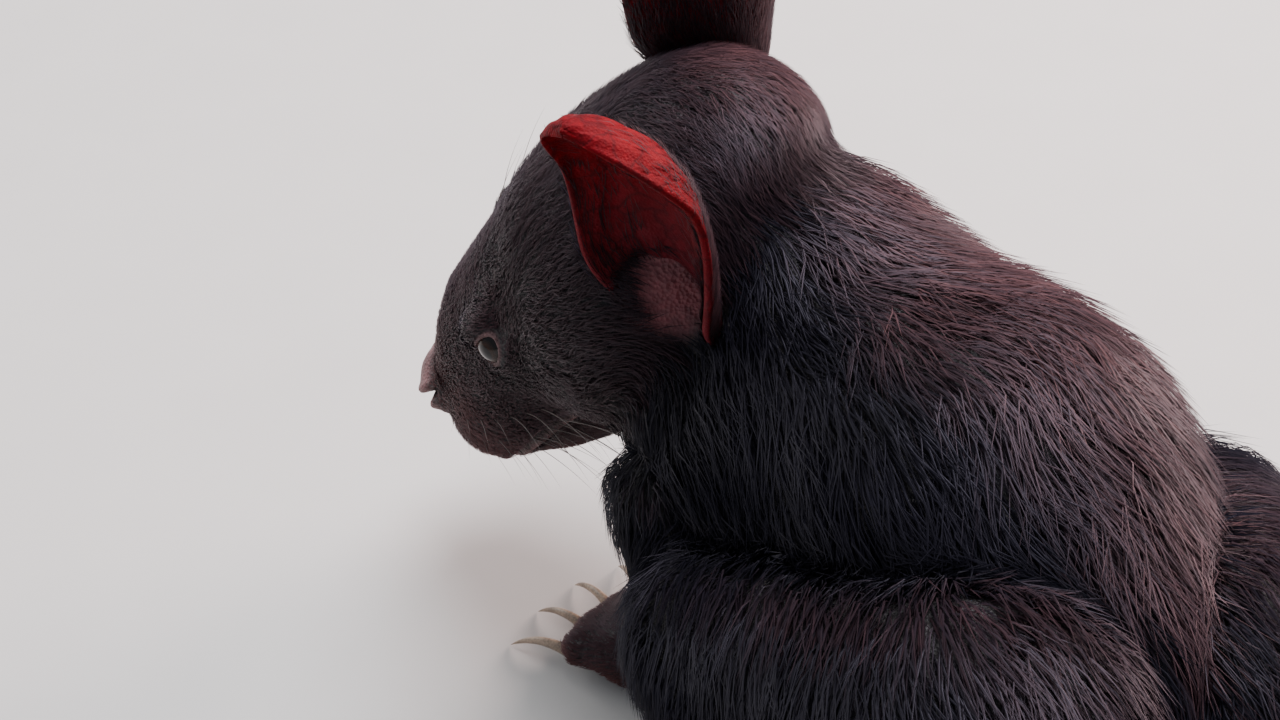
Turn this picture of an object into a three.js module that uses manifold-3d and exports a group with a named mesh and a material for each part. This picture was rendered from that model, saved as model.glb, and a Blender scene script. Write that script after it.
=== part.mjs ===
// A life-size Tasmanian devil that sits hunched, with its head turned to its left and bent down.
// Millimetres, +Z up. The body faces -Y, its left side is at +X, and the floor is z = 0.
import * as THREE from 'three';
import { mergeVertices } from 'three/addons/utils/BufferGeometryUtils.js';
import Module from 'manifold-3d';

const wasm = await Module();
wasm.setup();

// Driving dimensions

const GAP = 0.3; // space between two pieces that meet
const LEFT = 1;
const RIGHT = -1;

const SPINE = {
  pelvisHeight: 54,
  pelvisBack: 92,
  pelvisAside: 5,
  loin: { length: 63, turn: -5, rise: 42 },
  ribs: { length: 55, turn: 1, rise: 15 },
  chest: { length: 50, turn: 14, rise: -6 },
  nape: { length: 67, turn: 11, rise: 50 },
};

const HEAD = {
  turn: 49, // degrees to the animal's left of straight ahead
  pitch: -44, // nose down
  roll: -13,
  length: 162, // back of the skull to the tip of the nose
  cheekWidth: 114,
  muzzleWidth: 54,
};

const EYE = { radius: 7, ahead: 82, aside: 26, above: 14, slitLength: 15, slitHeight: 9.5 };

const EAR = {
  ahead: 1,
  aside: 42,
  above: 22,
  height: 57,
  width: 46,
  rootWidth: 33,
  thickness: 2.6,
  rimThickness: 1.5,
};

const ARM = { upper: 78, fore: 70, palm: 28 };
const LEG = { thigh: 79, shank: 98, sole: 56 };

// Toes spread over `fan` degrees; the claw follows the curve of its toe down to the floor
const FOREPAW = { toes: 5, fan: 58, spread: 33, toe: 21, toeRadius: 6.4, claw: 13 };
const HINDPAW = { toes: 4, fan: 26, spread: 27, toe: 20, toeRadius: 6.8, claw: 11 };

const TAIL = { rump: 44, length: 198, bend: -56, rootRadius: 28, midRadius: 20, tipRadius: 6 };

// Mesh sizes: the usual edge of a face on each kind of part
const FACET = { head: 9.5, lids: 2.8, lips: 5, trunk: 16, limb: 14, forearm: 11, paw: 6.2, nose: 4.2 };

// Small vector helpers

const rad = THREE.MathUtils.degToRad;
const vec = (x, y, z) => new THREE.Vector3(x, y, z);
const mix = (a, b, t) => a.clone().lerp(b, t);

// The direction at `turn` degrees to the animal's left of ahead and `rise` degrees above level
function heading(turn, rise) {
  const level = Math.cos(rad(rise));
  return vec(Math.sin(rad(turn)) * level, -Math.cos(rad(turn)) * level, Math.sin(rad(rise)));
}

function reach(from, { length, turn, rise }) {
  return from.clone().addScaledVector(heading(turn, rise), length);
}

// A local frame: forward, left and up axes at an origin
function frameAt(origin, turn, pitch, roll) {
  const forward = heading(turn, pitch);
  const level = heading(turn + 90, 0);
  const left = level.applyAxisAngle(forward, rad(roll));
  const up = forward.clone().cross(left);
  return {
    origin,
    forward,
    left,
    up,
    at: (f, l, u) => origin.clone().addScaledVector(forward, f).addScaledVector(left, l)
      .addScaledVector(up, u),
  };
}

// Body forms: each is a distance to its surface, below zero inside, with the box it fills

function box3(points, margin) {
  return new THREE.Box3().setFromPoints(points).expandByScalar(margin);
}

// A ball that grows or shrinks on its way from a to b
function taper(a, ra, b, rb, blend = 12) {
  const axis = b.clone().sub(a);
  const long = Math.max(axis.lengthSq(), 1e-6);
  const q = vec(0, 0, 0);
  const distance = (p) => {
    q.subVectors(p, a);
    const t = THREE.MathUtils.clamp(q.dot(axis) / long, 0, 1);
    return q.addScaledVector(axis, -t).length() - ra - t * (rb - ra);
  };
  const box = box3([a, a], ra).union(box3([b, b], rb));
  return { distance, box, blend };
}

const ball = (centre, radius, blend = 12) => taper(centre, radius, centre, radius, blend);

// An egg with its three half-lengths along the axes of a frame
function egg(frame, centre, [rf, rl, ru], blend = 12) {
  const q = vec(0, 0, 0);
  const distance = (p) => {
    q.subVectors(p, centre);
    const f = q.dot(frame.forward);
    const l = q.dot(frame.left);
    const u = q.dot(frame.up);
    const near = Math.hypot(f / rf, l / rl, u / ru);
    const steep = Math.hypot(f / (rf * rf), l / (rl * rl), u / (ru * ru));
    return steep > 1e-9 ? (near * (near - 1)) / steep : -Math.min(rf, rl, ru);
  };
  return { distance, box: box3([centre], Math.max(rf, rl, ru)), blend };
}

const carved = (form) => ({ ...form, carve: true });

function softMin(a, b, k) {
  const h = Math.max(k - Math.abs(a - b), 0) / k;
  return Math.min(a, b) - (h * h * k) / 4;
}

// One flesh body: forms blended into each other in order, and carved forms taken out
function flesh(forms) {
  const distance = (p) => {
    let d = 1e3;
    for (const form of forms) {
      const own = form.distance(p);
      d = form.carve ? -softMin(-d, own, form.blend) : softMin(d, own, form.blend);
    }
    return d;
  };
  const box = new THREE.Box3();
  for (const form of forms) {
    if (!form.carve) box.union(form.box);
  }
  return { distance, box };
}

// Surface of a body as a closed mesh: a vertex in each grid cell that the surface crosses

function gradient(distance, p, out) {
  const e = 0.25;
  const q = p.clone();
  const slope = (axis) => {
    const at = p[axis];
    q[axis] = at + e;
    const ahead = distance(q);
    q[axis] = at - e;
    const behind = distance(q);
    q[axis] = at;
    return (ahead - behind) / (2 * e);
  };
  return out.set(slope('x'), slope('y'), slope('z'));
}

function settle(distance, p, steps = 3) {
  const g = vec(0, 0, 0);
  for (let i = 0; i < steps; i += 1) {
    const d = distance(p);
    gradient(distance, p, g);
    const steep = Math.max(g.lengthSq(), 0.15);
    p.addScaledVector(g, THREE.MathUtils.clamp(-d / steep, -3, 3));
  }
  return p;
}

function surface(body, cell, region = body.box) {
  const lo = region.min.clone().subScalar(2 * cell);
  const size = region.max.clone().sub(lo).divideScalar(cell);
  const count = [Math.ceil(size.x) + 3, Math.ceil(size.y) + 3, Math.ceil(size.z) + 3];
  const [nx, ny, nz] = count;
  const index = (i, j, k) => (k * ny + j) * nx + i;
  const corner = (i, j, k) => vec(lo.x + i * cell, lo.y + j * cell, lo.z + k * cell);
  const value = new Float32Array(nx * ny * nz);
  for (let k = 0; k < nz; k += 1) {
    for (let j = 0; j < ny; j += 1) {
      for (let i = 0; i < nx; i += 1) value[index(i, j, k)] = body.distance(corner(i, j, k));
    }
  }
  const points = [];
  const cellVertex = new Map();
  const vertexOf = (i, j, k) => {
    const key = index(i, j, k);
    if (cellVertex.has(key)) return cellVertex.get(key);
    const sum = vec(0, 0, 0);
    let hits = 0;
    const edge = (a, b) => {
      const va = value[index(...a)];
      const vb = value[index(...b)];
      if (va < 0 === vb < 0) return;
      sum.add(mix(corner(...a), corner(...b), va / (va - vb)));
      hits += 1;
    };
    for (const s of [0, 1]) {
      for (const t of [0, 1]) {
        edge([i, j + s, k + t], [i + 1, j + s, k + t]);
        edge([i + s, j, k + t], [i + s, j + 1, k + t]);
        edge([i + s, j + t, k], [i + s, j + t, k + 1]);
      }
    }
    points.push(sum.divideScalar(hits));
    cellVertex.set(key, points.length - 1);
    return points.length - 1;
  };
  const faces = [];
  const quad = (a, b, c, d, flip) => {
    const ring = flip ? [d, c, b, a] : [a, b, c, d];
    const [p, q, r, s] = ring.map((v) => points[v]);
    if (p.distanceToSquared(r) < q.distanceToSquared(s)) {
      faces.push([ring[0], ring[1], ring[2]], [ring[0], ring[2], ring[3]]);
    } else {
      faces.push([ring[1], ring[2], ring[3]], [ring[1], ring[3], ring[0]]);
    }
  };
  for (let k = 1; k < nz - 1; k += 1) {
    for (let j = 1; j < ny - 1; j += 1) {
      for (let i = 1; i < nx - 1; i += 1) {
        const inside = value[index(i, j, k)] < 0;
        if (inside !== value[index(i + 1, j, k)] < 0) {
          quad(vertexOf(i, j - 1, k - 1), vertexOf(i, j, k - 1), vertexOf(i, j, k),
            vertexOf(i, j - 1, k), !inside);
        }
        if (inside !== value[index(i, j + 1, k)] < 0) {
          quad(vertexOf(i - 1, j, k - 1), vertexOf(i - 1, j, k), vertexOf(i, j, k),
            vertexOf(i, j, k - 1), !inside);
        }
        if (inside !== value[index(i, j, k + 1)] < 0) {
          quad(vertexOf(i - 1, j - 1, k), vertexOf(i, j - 1, k), vertexOf(i, j, k),
            vertexOf(i - 1, j, k), !inside);
        }
      }
    }
  }
  const mesh = { points, faces };
  relax(mesh, body.distance, 2);
  return mesh;
}

// Evens the faces out along the surface and puts each vertex back on it
function relax(mesh, distance, rounds) {
  for (let round = 0; round < rounds; round += 1) {
    const sums = mesh.points.map(() => vec(0, 0, 0));
    const counts = new Array(mesh.points.length).fill(0);
    for (const face of mesh.faces) {
      for (let c = 0; c < 3; c += 1) {
        sums[face[c]].add(mesh.points[face[(c + 1) % 3]]);
        counts[face[c]] += 1;
      }
    }
    mesh.points.forEach((p, v) => p.lerp(sums[v].divideScalar(counts[v]), 0.5));
    for (const p of mesh.points) settle(distance, p);
  }
}

// Splits the edges that are longer than the size wanted where they are
function refine(mesh, distance, sizeAt, rounds) {
  for (let round = 0; round < rounds; round += 1) {
    const middle = new Map();
    const split = (a, b) => {
      const key = a < b ? `${a}_${b}` : `${b}_${a}`;
      if (!middle.has(key)) {
        const [p, q] = [mesh.points[a], mesh.points[b]];
        const centre = mix(p, q, 0.5);
        let made = null;
        if (p.distanceTo(q) > 1.45 * sizeAt(centre)) {
          made = mesh.points.length;
          mesh.points.push(settle(distance, centre));
        }
        middle.set(key, made);
      }
      return middle.get(key);
    };
    const faces = [];
    for (const [a, b, c] of mesh.faces) {
      const [ab, bc, ca] = [split(a, b), split(b, c), split(c, a)];
      faces.push(...splitFace([a, b, c], [ab, bc, ca]));
    }
    mesh.faces = faces;
    relax(mesh, distance, 1);
  }
  return mesh;
}

// The faces that take a triangle's place when some of its edges have a middle vertex
function splitFace(corners, middles) {
  const made = middles.filter((m) => m !== null).length;
  if (made === 0) return [corners];
  const turned = (shift) => [0, 1, 2].map((i) => [corners[(i + shift) % 3], middles[(i + shift) % 3]]);
  if (made === 3) {
    const [a, b, c] = corners;
    const [ab, bc, ca] = middles;
    return [[a, ab, ca], [ab, b, bc], [ca, bc, c], [ab, bc, ca]];
  }
  const lone = middles.findIndex((m) => (made === 1 ? m !== null : m === null));
  const [[a, ab], [b, bc], [c, ca]] = turned(lone);
  if (made === 1) return [[a, ab, c], [ab, b, c]];
  return [[a, b, bc], [a, bc, ca], [bc, c, ca]];
}

// Solids

function solidOf(mesh) {
  const vertProperties = new Float32Array(mesh.points.flatMap((p) => [p.x, p.y, p.z]));
  const triVerts = new Uint32Array(mesh.faces.flat());
  return new wasm.Manifold(new wasm.Mesh({ numProp: 3, vertProperties, triVerts }));
}

function meshOf(geometry) {
  const plain = geometry.clone();
  plain.deleteAttribute('normal');
  plain.deleteAttribute('uv');
  const merged = mergeVertices(plain, 1e-3);
  const place = merged.getAttribute('position');
  const points = [];
  for (let v = 0; v < place.count; v += 1) points.push(vec(0, 0, 0).fromBufferAttribute(place, v));
  const faces = [];
  const order = merged.getIndex().array;
  for (let f = 0; f < order.length; f += 3) {
    const face = [order[f], order[f + 1], order[f + 2]];
    if (new Set(face).size === 3) faces.push(face);
  }
  return { points, faces };
}

// The same mesh pushed out by a distance, to cut its neighbours clear of it
function swollen(mesh, by) {
  const normals = mesh.points.map(() => vec(0, 0, 0));
  const triangle = new THREE.Triangle();
  const normal = vec(0, 0, 0);
  for (const face of mesh.faces) {
    triangle.setFromPointsAndIndices(mesh.points, ...face);
    triangle.getNormal(normal);
    for (const v of face) normals[v].add(normal);
  }
  const points = mesh.points.map((p, v) => p.clone().addScaledVector(normals[v].normalize(), by));
  return { points, faces: mesh.faces };
}

const clearOf = (mesh) => solidOf(swollen(mesh, 1.25 * GAP));

// A wide slab on the side of a plane that its normal points to
const SLAB = 900;
function halfSpace(point, normal, inset = 0) {
  const slab = new THREE.BoxGeometry(SLAB, SLAB, SLAB);
  slab.translate(0, 0, SLAB / 2 + inset);
  const turn = new THREE.Quaternion().setFromUnitVectors(vec(0, 0, 1), normal.clone().normalize());
  slab.applyQuaternion(turn);
  slab.translate(point.x, point.y, point.z);
  return solidOf(meshOf(slab));
}

const ABOVE_FLOOR = halfSpace(vec(0, 0, 0), vec(0, 0, 1));

// Keeps only the largest closed surface of a solid
function largest(solid) {
  const pieces = solid.decompose();
  return pieces.reduce((best, piece) => (piece.volume() > best.volume() ? piece : best));
}

// Closes up the very short edges that cuts leave, with the slivers on them
const SHORT_EDGE = 0.12;
function withoutSlivers({ points, faces }) {
  const stands = points.map((_, v) => v);
  const find = (v) => {
    let root = v;
    while (stands[root] !== root) root = stands[root];
    return root;
  };
  const around = points.map(() => new Set());
  for (const face of faces) {
    for (let c = 0; c < 3; c += 1) {
      around[face[c]].add(face[(c + 1) % 3]);
      around[face[(c + 1) % 3]].add(face[c]);
    }
  }
  const closeUp = (a, b) => {
    if (points[a].distanceTo(points[b]) > SHORT_EDGE) return;
    const shared = [...around[a]].filter((v) => around[b].has(v));
    if (shared.length !== 2) return;
    stands[b] = a;
    for (const v of around[b]) {
      around[v].delete(b);
      if (v !== a) {
        around[v].add(a);
        around[a].add(v);
      }
    }
    around[b].clear();
  };
  for (const face of faces) {
    for (let c = 0; c < 3; c += 1) {
      const a = find(face[c]);
      const b = find(face[(c + 1) % 3]);
      if (a !== b) closeUp(a, b);
    }
  }
  const kept = faces.map((face) => face.map(find)).filter((face) => new Set(face).size === 3);
  drawApart(points, around, new Set(kept.flat()));
  return { points, faces: kept };
}

// Where two vertices of a surface fall on one spot, each is drawn a little to its own neighbours
function drawApart(points, around, used) {
  const spots = new Map();
  for (const v of used) {
    const { x, y, z } = points[v];
    const key = [x, y, z].map((value) => Math.round(value / 0.02)).join();
    spots.set(key, [...(spots.get(key) ?? []), v]);
  }
  for (const group of spots.values()) {
    if (group.length === 1) continue;
    for (const v of group) {
      const middle = vec(0, 0, 0);
      for (const next of around[v]) middle.addScaledVector(points[next], 1 / around[v].size);
      points[v].addScaledVector(middle.sub(points[v]).normalize(), 0.05);
    }
  }
}

function geometryOf(solid) {
  const { vertProperties, triVerts, numProp } = largest(solid).getMesh();
  const points = [];
  for (let v = 0; v < vertProperties.length; v += numProp) {
    points.push(vec(vertProperties[v], vertProperties[v + 1], vertProperties[v + 2]));
  }
  const faces = [];
  for (let f = 0; f < triVerts.length; f += 3) faces.push([...triVerts.slice(f, f + 3)]);
  const clean = withoutSlivers({ points, faces });
  const used = [...new Set(clean.faces.flat())];
  const order = new Map(used.map((v, place) => [v, place]));
  const geometry = new THREE.BufferGeometry().setFromPoints(used.map((v) => points[v]));
  geometry.setIndex(clean.faces.flat().map((v) => order.get(v)));
  geometry.computeVertexNormals();
  return geometry;
}

// A closed skin over rings of points, with a pole at each end
function loft(rings) {
  const sides = rings[0].length;
  const points = rings.flat();
  const faces = [];
  for (let r = 0; r + 1 < rings.length; r += 1) {
    for (let s = 0; s < sides; s += 1) {
      const a = r * sides + s;
      const b = r * sides + ((s + 1) % sides);
      faces.push([a, b, b + sides], [a, b + sides, a + sides]);
    }
  }
  const middleOf = (ring) => ring.reduce((sum, p) => sum.add(p), vec(0, 0, 0))
    .divideScalar(ring.length);
  const first = points.push(middleOf(rings[0])) - 1;
  const last = points.push(middleOf(rings[rings.length - 1])) - 1;
  const end = (rings.length - 1) * sides;
  for (let s = 0; s < sides; s += 1) {
    const next = (s + 1) % sides;
    faces.push([first, next, s], [last, end + s, end + next]);
  }
  return { points, faces };
}

// Rings of a round section along a curve; radiusAt gives the radius at 0..1 of its length
function ringsAlong(curve, radiusAt, steps, sides) {
  const rings = [];
  const frames = curve.computeFrenetFrames(steps, false);
  for (let i = 0; i <= steps; i += 1) {
    const centre = curve.getPointAt(i / steps);
    const radius = radiusAt(i / steps);
    const ring = [];
    for (let s = 0; s < sides; s += 1) {
      const angle = (2 * Math.PI * s) / sides;
      ring.push(centre.clone().addScaledVector(frames.normals[i], Math.cos(angle) * radius)
        .addScaledVector(frames.binormals[i], Math.sin(angle) * radius));
    }
    rings.push(ring);
  }
  return rings;
}

// Skeleton

const pelvis = vec(SPINE.pelvisAside, SPINE.pelvisBack, SPINE.pelvisHeight);
const loin = reach(pelvis, SPINE.loin);
const ribs = reach(loin, SPINE.ribs);
const chest = reach(ribs, SPINE.chest);
const occiput = reach(chest, SPINE.nape);
const body = frameAt(pelvis, 0, 0, 0);
const breast = frameAt(chest, SPINE.chest.turn, 0, 0);
const head = frameAt(occiput, HEAD.turn, HEAD.pitch, HEAD.roll);

function armJoints(side, pose) {
  const shoulder = breast.at(4, side * 38, -12);
  const elbow = reach(shoulder, { length: ARM.upper, ...pose.upper });
  const wrist = reach(elbow, { length: ARM.fore, ...pose.fore });
  const knuckles = reach(wrist, { length: ARM.palm, ...pose.palm });
  return { side, shoulder, elbow, wrist, knuckles, toeTurn: pose.toeTurn };
}

function legJoints(side, pose) {
  const hip = body.at(...pose.hip);
  const knee = reach(hip, { length: LEG.thigh, ...pose.thigh });
  const heel = reach(knee, { length: LEG.shank, ...pose.shank });
  const knuckles = reach(heel, { length: LEG.sole, ...pose.sole });
  return { side, hip, knee, heel, knuckles, toeTurn: pose.toeTurn };
}

const arms = {
  left: armJoints(LEFT, {
    upper: { turn: 186, rise: -41 },
    fore: { turn: 6, rise: -6 },
    palm: { turn: 25, rise: -52 },
    toeTurn: 16,
  }),
  right: armJoints(RIGHT, {
    upper: { turn: 182, rise: -41 },
    fore: { turn: 0, rise: -8 },
    palm: { turn: -4, rise: -50 },
    toeTurn: -8,
  }),
};

const legs = {
  left: legJoints(LEFT, {
    hip: [35, 24, 40],
    thigh: { turn: 30, rise: -7 },
    shank: { turn: 182, rise: -42 },
    sole: { turn: 8, rise: -2 },
    toeTurn: 12,
  }),
  right: legJoints(RIGHT, {
    hip: [35, -28, 32],
    thigh: { turn: -36, rise: -6 },
    shank: { turn: 180, rise: -42 },
    sole: { turn: -12, rise: -2 },
    toeTurn: -16,
  }),
};

// Head

const bothSides = (make) => [make(LEFT), make(RIGHT)];
const NOSE_TIP = HEAD.length - 22; // the skull reaches about 22 behind the head's origin

function headForms() {
  const at = head.at;
  const cheek = HEAD.cheekWidth / 2;
  const muzzle = HEAD.muzzleWidth / 2;
  const tip = NOSE_TIP;
  return [
    egg(head, at(15, 0, 6), [40, 41, 36], 22),
    ...bothSides((s) => egg(head, at(36, s * (cheek - 30), -6), [40, 30, 34], 20)),
    taper(at(54, 0, 2), 37, at(94, 0, -4), 29, 20),
    taper(at(84, 0, -7), 28, at(tip - 28, 0, -12), muzzle - 3, 13),
    taper(at(26, 0, -31), 28, at(tip - 25, 0, -31), 17, 11),
    ...bothSides((s) => egg(head, at(tip - 27, s * 15, -16), [24, 15, 13], 9)),
    ball(at(tip - 17, 0, -9), 15, 9),
    ...bothSides((s) => egg(head, eyeCentre(s), [10.5, 9.2, 8.6], 5)),
    ...bothSides((s) => egg(head, at(EYE.ahead + 1, s * (EYE.aside - 2), EYE.above + 8), [13, 6, 4], 6)),
  ];
}

const eyeCentre = (s) => head.at(EYE.ahead, s * EYE.aside, EYE.above);

const smoothHead = flesh(headForms());

// The line of the mouth: a groove from under the nose to its corner below the eye
function mouthGroove(side) {
  const tip = NOSE_TIP;
  const guide = [[tip - 1, 0, -23], [tip - 10, 15, -27], [tip - 28, 26, -28], [tip - 46, 31, -26],
    [tip - 62, 35, -20]];
  const line = guide.map(([f, l, u]) => settle(smoothHead.distance, head.at(f, side * l, u), 8));
  const parts = [];
  for (let i = 0; i + 1 < line.length; i += 1) {
    parts.push(carved(taper(line[i], 1.7, line[i + 1], 1.7, 1.5)));
  }
  return parts;
}

const grooves = bothSides(mouthGroove).flat();
const headBody = flesh([...headForms(), ...grooves]);

function headFacet(p) {
  const lid = Math.min(...bothSides((s) => p.distanceTo(eyeCentre(s))));
  const lip = Math.min(...grooves.map((groove) => groove.distance(p)));
  if (lid < 11) return FACET.lids;
  return lip < 3 ? FACET.lips : FACET.head;
}

const headMesh = refine(surface(headBody, FACET.head), headBody.distance, headFacet, 2);

// The direction an eye looks in, out to its side and a little forward and up
function eyeFrame(s) {
  const outward = head.forward.clone().multiplyScalar(0.42).addScaledVector(head.left, s * 0.82)
    .addScaledVector(head.up, 0.38).normalize();
  const along = head.forward.clone().addScaledVector(head.up, -0.35);
  along.addScaledVector(outward, -along.dot(outward)).normalize();
  return { outward, along, across: outward.clone().cross(along) };
}

function placed(geometry, centre, { along, across, outward }) {
  const turn = new THREE.Matrix4().makeBasis(along, across, outward).setPosition(centre);
  return geometry.applyMatrix4(turn);
}

function eyeBall(s, radius) {
  const globe = new THREE.SphereGeometry(radius, 10, 6);
  return placed(globe, eyeCentre(s), eyeFrame(s));
}

// The slit between the lids, cut in front of the eyeball
function lidSlit(s) {
  const frame = eyeFrame(s);
  const slit = new THREE.SphereGeometry(1, 10, 6);
  slit.scale(EYE.slitLength / 2, EYE.slitHeight / 2, EYE.radius);
  return placed(slit, eyeCentre(s).addScaledVector(frame.outward, EYE.radius), frame);
}

// Nose: a bulbous bare pad with two nostrils and a groove down its middle

function noseBody() {
  const tip = NOSE_TIP;
  const at = head.at;
  return flesh([
    egg(head, at(tip - 5, 0, -3), [10, 11.5, 8.5], 3),
    ...bothSides((s) => egg(head, at(tip - 3, s * 7, -5), [8, 6, 6.5], 3)),
    taper(at(tip - 4, 0, -9), 4.5, at(tip - 5, 0, -18), 3.2, 4),
    ...bothSides((s) => carved(taper(at(tip + 4.4, s * 6.6, -6.5), 2.3, at(tip + 1, s * 12, -4.5), 1.5, 1))),
    carved(taper(at(tip + 5.8, 0, 0), 1.1, at(tip + 0.2, 0, -17), 1.1, 1)),
  ]);
}

// Ears: thin cups, open to the side and the front

function earFrame(s, rise, open) {
  const along = head.forward.clone().multiplyScalar(rise[0]).addScaledVector(head.left, s * rise[1])
    .addScaledVector(head.up, rise[2]).normalize();
  const mouth = head.forward.clone().multiplyScalar(open[0]).addScaledVector(head.left, s * open[1])
    .addScaledVector(head.up, open[2]);
  mouth.addScaledVector(along, -mouth.dot(along)).normalize();
  return {
    root: head.at(EAR.ahead, s * EAR.aside, EAR.above),
    along,
    mouth,
    across: along.clone().cross(mouth).multiplyScalar(s),
  };
}

const EAR_ROWS = 8;
const EAR_COLUMNS = 10;

// A place on the ear: t runs from root to tip, w from one edge to the other, deep through the wall
function earPoint({ root, along, mouth, across }, t, w, deep) {
  const widest = 0.5;
  const round = t < widest ? 1 - (1 - EAR.rootWidth / EAR.width) * ((widest - t) / widest) ** 2
    : Math.sqrt(Math.max(1 - ((t - widest) / (1 - widest)) ** 2.3, 0.1));
  const half = (EAR.width / 2) * round;
  const rise = THREE.MathUtils.smoothstep(t, 0, 0.7);
  const curl = rad(THREE.MathUtils.lerp(100, 56, rise));
  const back = THREE.MathUtils.lerp(0.1, 0.4, rise);
  const radius = half / Math.sin(Math.min(curl, Math.PI / 2));
  const wall = THREE.MathUtils.lerp(EAR.thickness, EAR.rimThickness, t);
  const r = radius - deep * wall;
  const sway = 4 * Math.sin(Math.PI * t) - 2 * t;
  const buried = 12 * (1 - 0.7 * w * w) * (1 - t);
  return root.clone()
    .addScaledVector(along, EAR.height * t - buried + 2.5 * (1 - w * w) * t)
    .addScaledVector(across, r * Math.sin(w * curl))
    .addScaledVector(mouth, radius - r * Math.cos(w * curl) - back * radius - sway);
}

function earMesh(frame) {
  const points = [];
  const faces = [];
  const columns = EAR_COLUMNS + 1;
  for (const deep of [0, 1]) {
    for (let r = 0; r <= EAR_ROWS; r += 1) {
      const t = Math.sin((Math.PI / 2) * (r / EAR_ROWS) ** 0.9);
      for (let c = 0; c <= EAR_COLUMNS; c += 1) {
        points.push(earPoint(frame, t, (2 * c) / EAR_COLUMNS - 1, deep));
      }
    }
  }
  const layer = columns * (EAR_ROWS + 1);
  const quad = (a, b, c, d) => faces.push([a, b, c], [a, c, d]);
  for (let r = 0; r < EAR_ROWS; r += 1) {
    for (let c = 0; c < EAR_COLUMNS; c += 1) {
      const a = r * columns + c;
      quad(a, a + columns, a + columns + 1, a + 1);
      faces.push([layer + a, layer + a + columns + 1, layer + a + columns]);
      faces.push([layer + a, layer + a + 1, layer + a + columns + 1]);
    }
    const first = r * columns;
    const last = first + EAR_COLUMNS;
    quad(first, layer + first, layer + first + columns, first + columns);
    quad(last, last + columns, layer + last + columns, layer + last);
  }
  const top = EAR_ROWS * columns;
  for (let c = 0; c < EAR_COLUMNS; c += 1) {
    quad(c, c + 1, layer + c + 1, layer + c);
    quad(top + c, layer + top + c, layer + top + c + 1, top + c + 1);
  }
  return { points, faces };
}

// A mesh whose faces all point out, whichever way it was wound
function outward(mesh) {
  const origin = mesh.points[0];
  const volume = mesh.faces.reduce((sum, [a, b, c]) => {
    const [p, q, r] = [a, b, c].map((v) => mesh.points[v].clone().sub(origin));
    return sum + p.dot(q.cross(r));
  }, 0);
  return volume > 0 ? mesh : { points: mesh.points, faces: mesh.faces.map(([a, b, c]) => [a, c, b]) };
}

// Trunk and neck

function trunkForms() {
  const belly = mix(pelvis, chest, 0.35).setZ(58);
  const brisket = mix(pelvis, chest, 0.85).setZ(68);
  const sag = vec(0, 0, -5); // the throat hangs below the line of the neck
  return [
    taper(pelvis, 49, loin, 48, 30),
    taper(loin, 48, ribs, 55, 30),
    taper(ribs, 55, chest, 53, 30),
    taper(belly, 48, brisket, 44, 30),
    taper(chest.clone().add(sag), 48, mix(chest, occiput, 0.66).add(sag), 41, 26),
    ...bothSides((s) => ball(breast.at(2, s * 26, -8), 38, 22)),
  ];
}

const trunkMesh = surface(flesh(trunkForms()), FACET.trunk);

// Limbs

function legForms(leg) {
  const calf = mix(leg.knee, leg.heel, 0.5);
  return [
    ball(leg.hip, 56, 10),
    taper(leg.hip, 54, mix(leg.hip, leg.knee, 0.6), 40, 14),
    taper(mix(leg.hip, leg.knee, 0.5), 40, leg.knee, 27, 14),
    taper(leg.knee, 27, calf, 24, 8),
    taper(calf, 24, leg.heel, 14, 8),
  ];
}

function armForms(arm) {
  return [
    taper(arm.shoulder, 34, arm.elbow, 24, 10),
    taper(arm.elbow, 22, mix(arm.elbow, arm.wrist, 0.4), 20, 8),
    taper(mix(arm.elbow, arm.wrist, 0.4), 20, arm.wrist, 14, 8),
  ];
}

// Toes fan out from the knuckles, each with two joints, and end in a claw
function toesOf(limb, paw) {
  return Array.from({ length: paw.toes }, (_, n) => {
    const across = n / (paw.toes - 1) - 0.5;
    const turn = limb.toeTurn + across * paw.fan;
    const bow = 1 - 2.2 * across * across;
    const sideways = heading(limb.toeTurn + 90, 0);
    const base = limb.knuckles.clone().setZ(12).addScaledVector(sideways, across * (paw.spread - 8))
      .addScaledVector(heading(limb.toeTurn, 0), 4 * bow - 2);
    const joint = reach(base, { length: paw.toe * 0.55, turn, rise: -4 });
    const end = reach(joint, { length: paw.toe * 0.45 * (0.8 + 0.3 * bow), turn, rise: -38 });
    return { turn, base, joint, end: end.setZ(paw.toeRadius * 0.78 - 0.7) };
  });
}

function pawForms(limb, paw, stem) {
  const palm = limb.knuckles.clone().setZ(11);
  const sideways = heading(limb.toeTurn + 90, 0);
  const half = paw.spread / 2 - 9;
  const edge = (s) => palm.clone().addScaledVector(sideways, s * half);
  return [
    ...stem,
    taper(edge(-1), 11.6, edge(1), 11.6, 10),
    ...toesOf(limb, paw).flatMap(({ base, joint, end }) => [
      taper(base, paw.toeRadius + 1, joint, paw.toeRadius, 2.5),
      taper(joint, paw.toeRadius, end, paw.toeRadius * 0.78, 2.5),
    ]),
  ];
}

const CLAW_SIDES = 5;
function clawMesh({ turn, end }, paw) {
  const start = reach(end, { length: -2, turn, rise: 0 }).setZ(end.z + 2);
  const crest = reach(end, { length: paw.toeRadius * 0.8 + paw.claw * 0.45, turn, rise: 0 });
  const point = reach(end, { length: paw.toeRadius * 0.8 + paw.claw, turn, rise: 0 }).setZ(1.1);
  const curve = new THREE.QuadraticBezierCurve3(start, crest.setZ(end.z + 4.2), point);
  const radiusAt = (t) => THREE.MathUtils.lerp(2.9, 0.5, t ** 1.3);
  return outward(loft(ringsAlong(curve, radiusAt, 4, CLAW_SIDES)));
}

// Cuts

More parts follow.
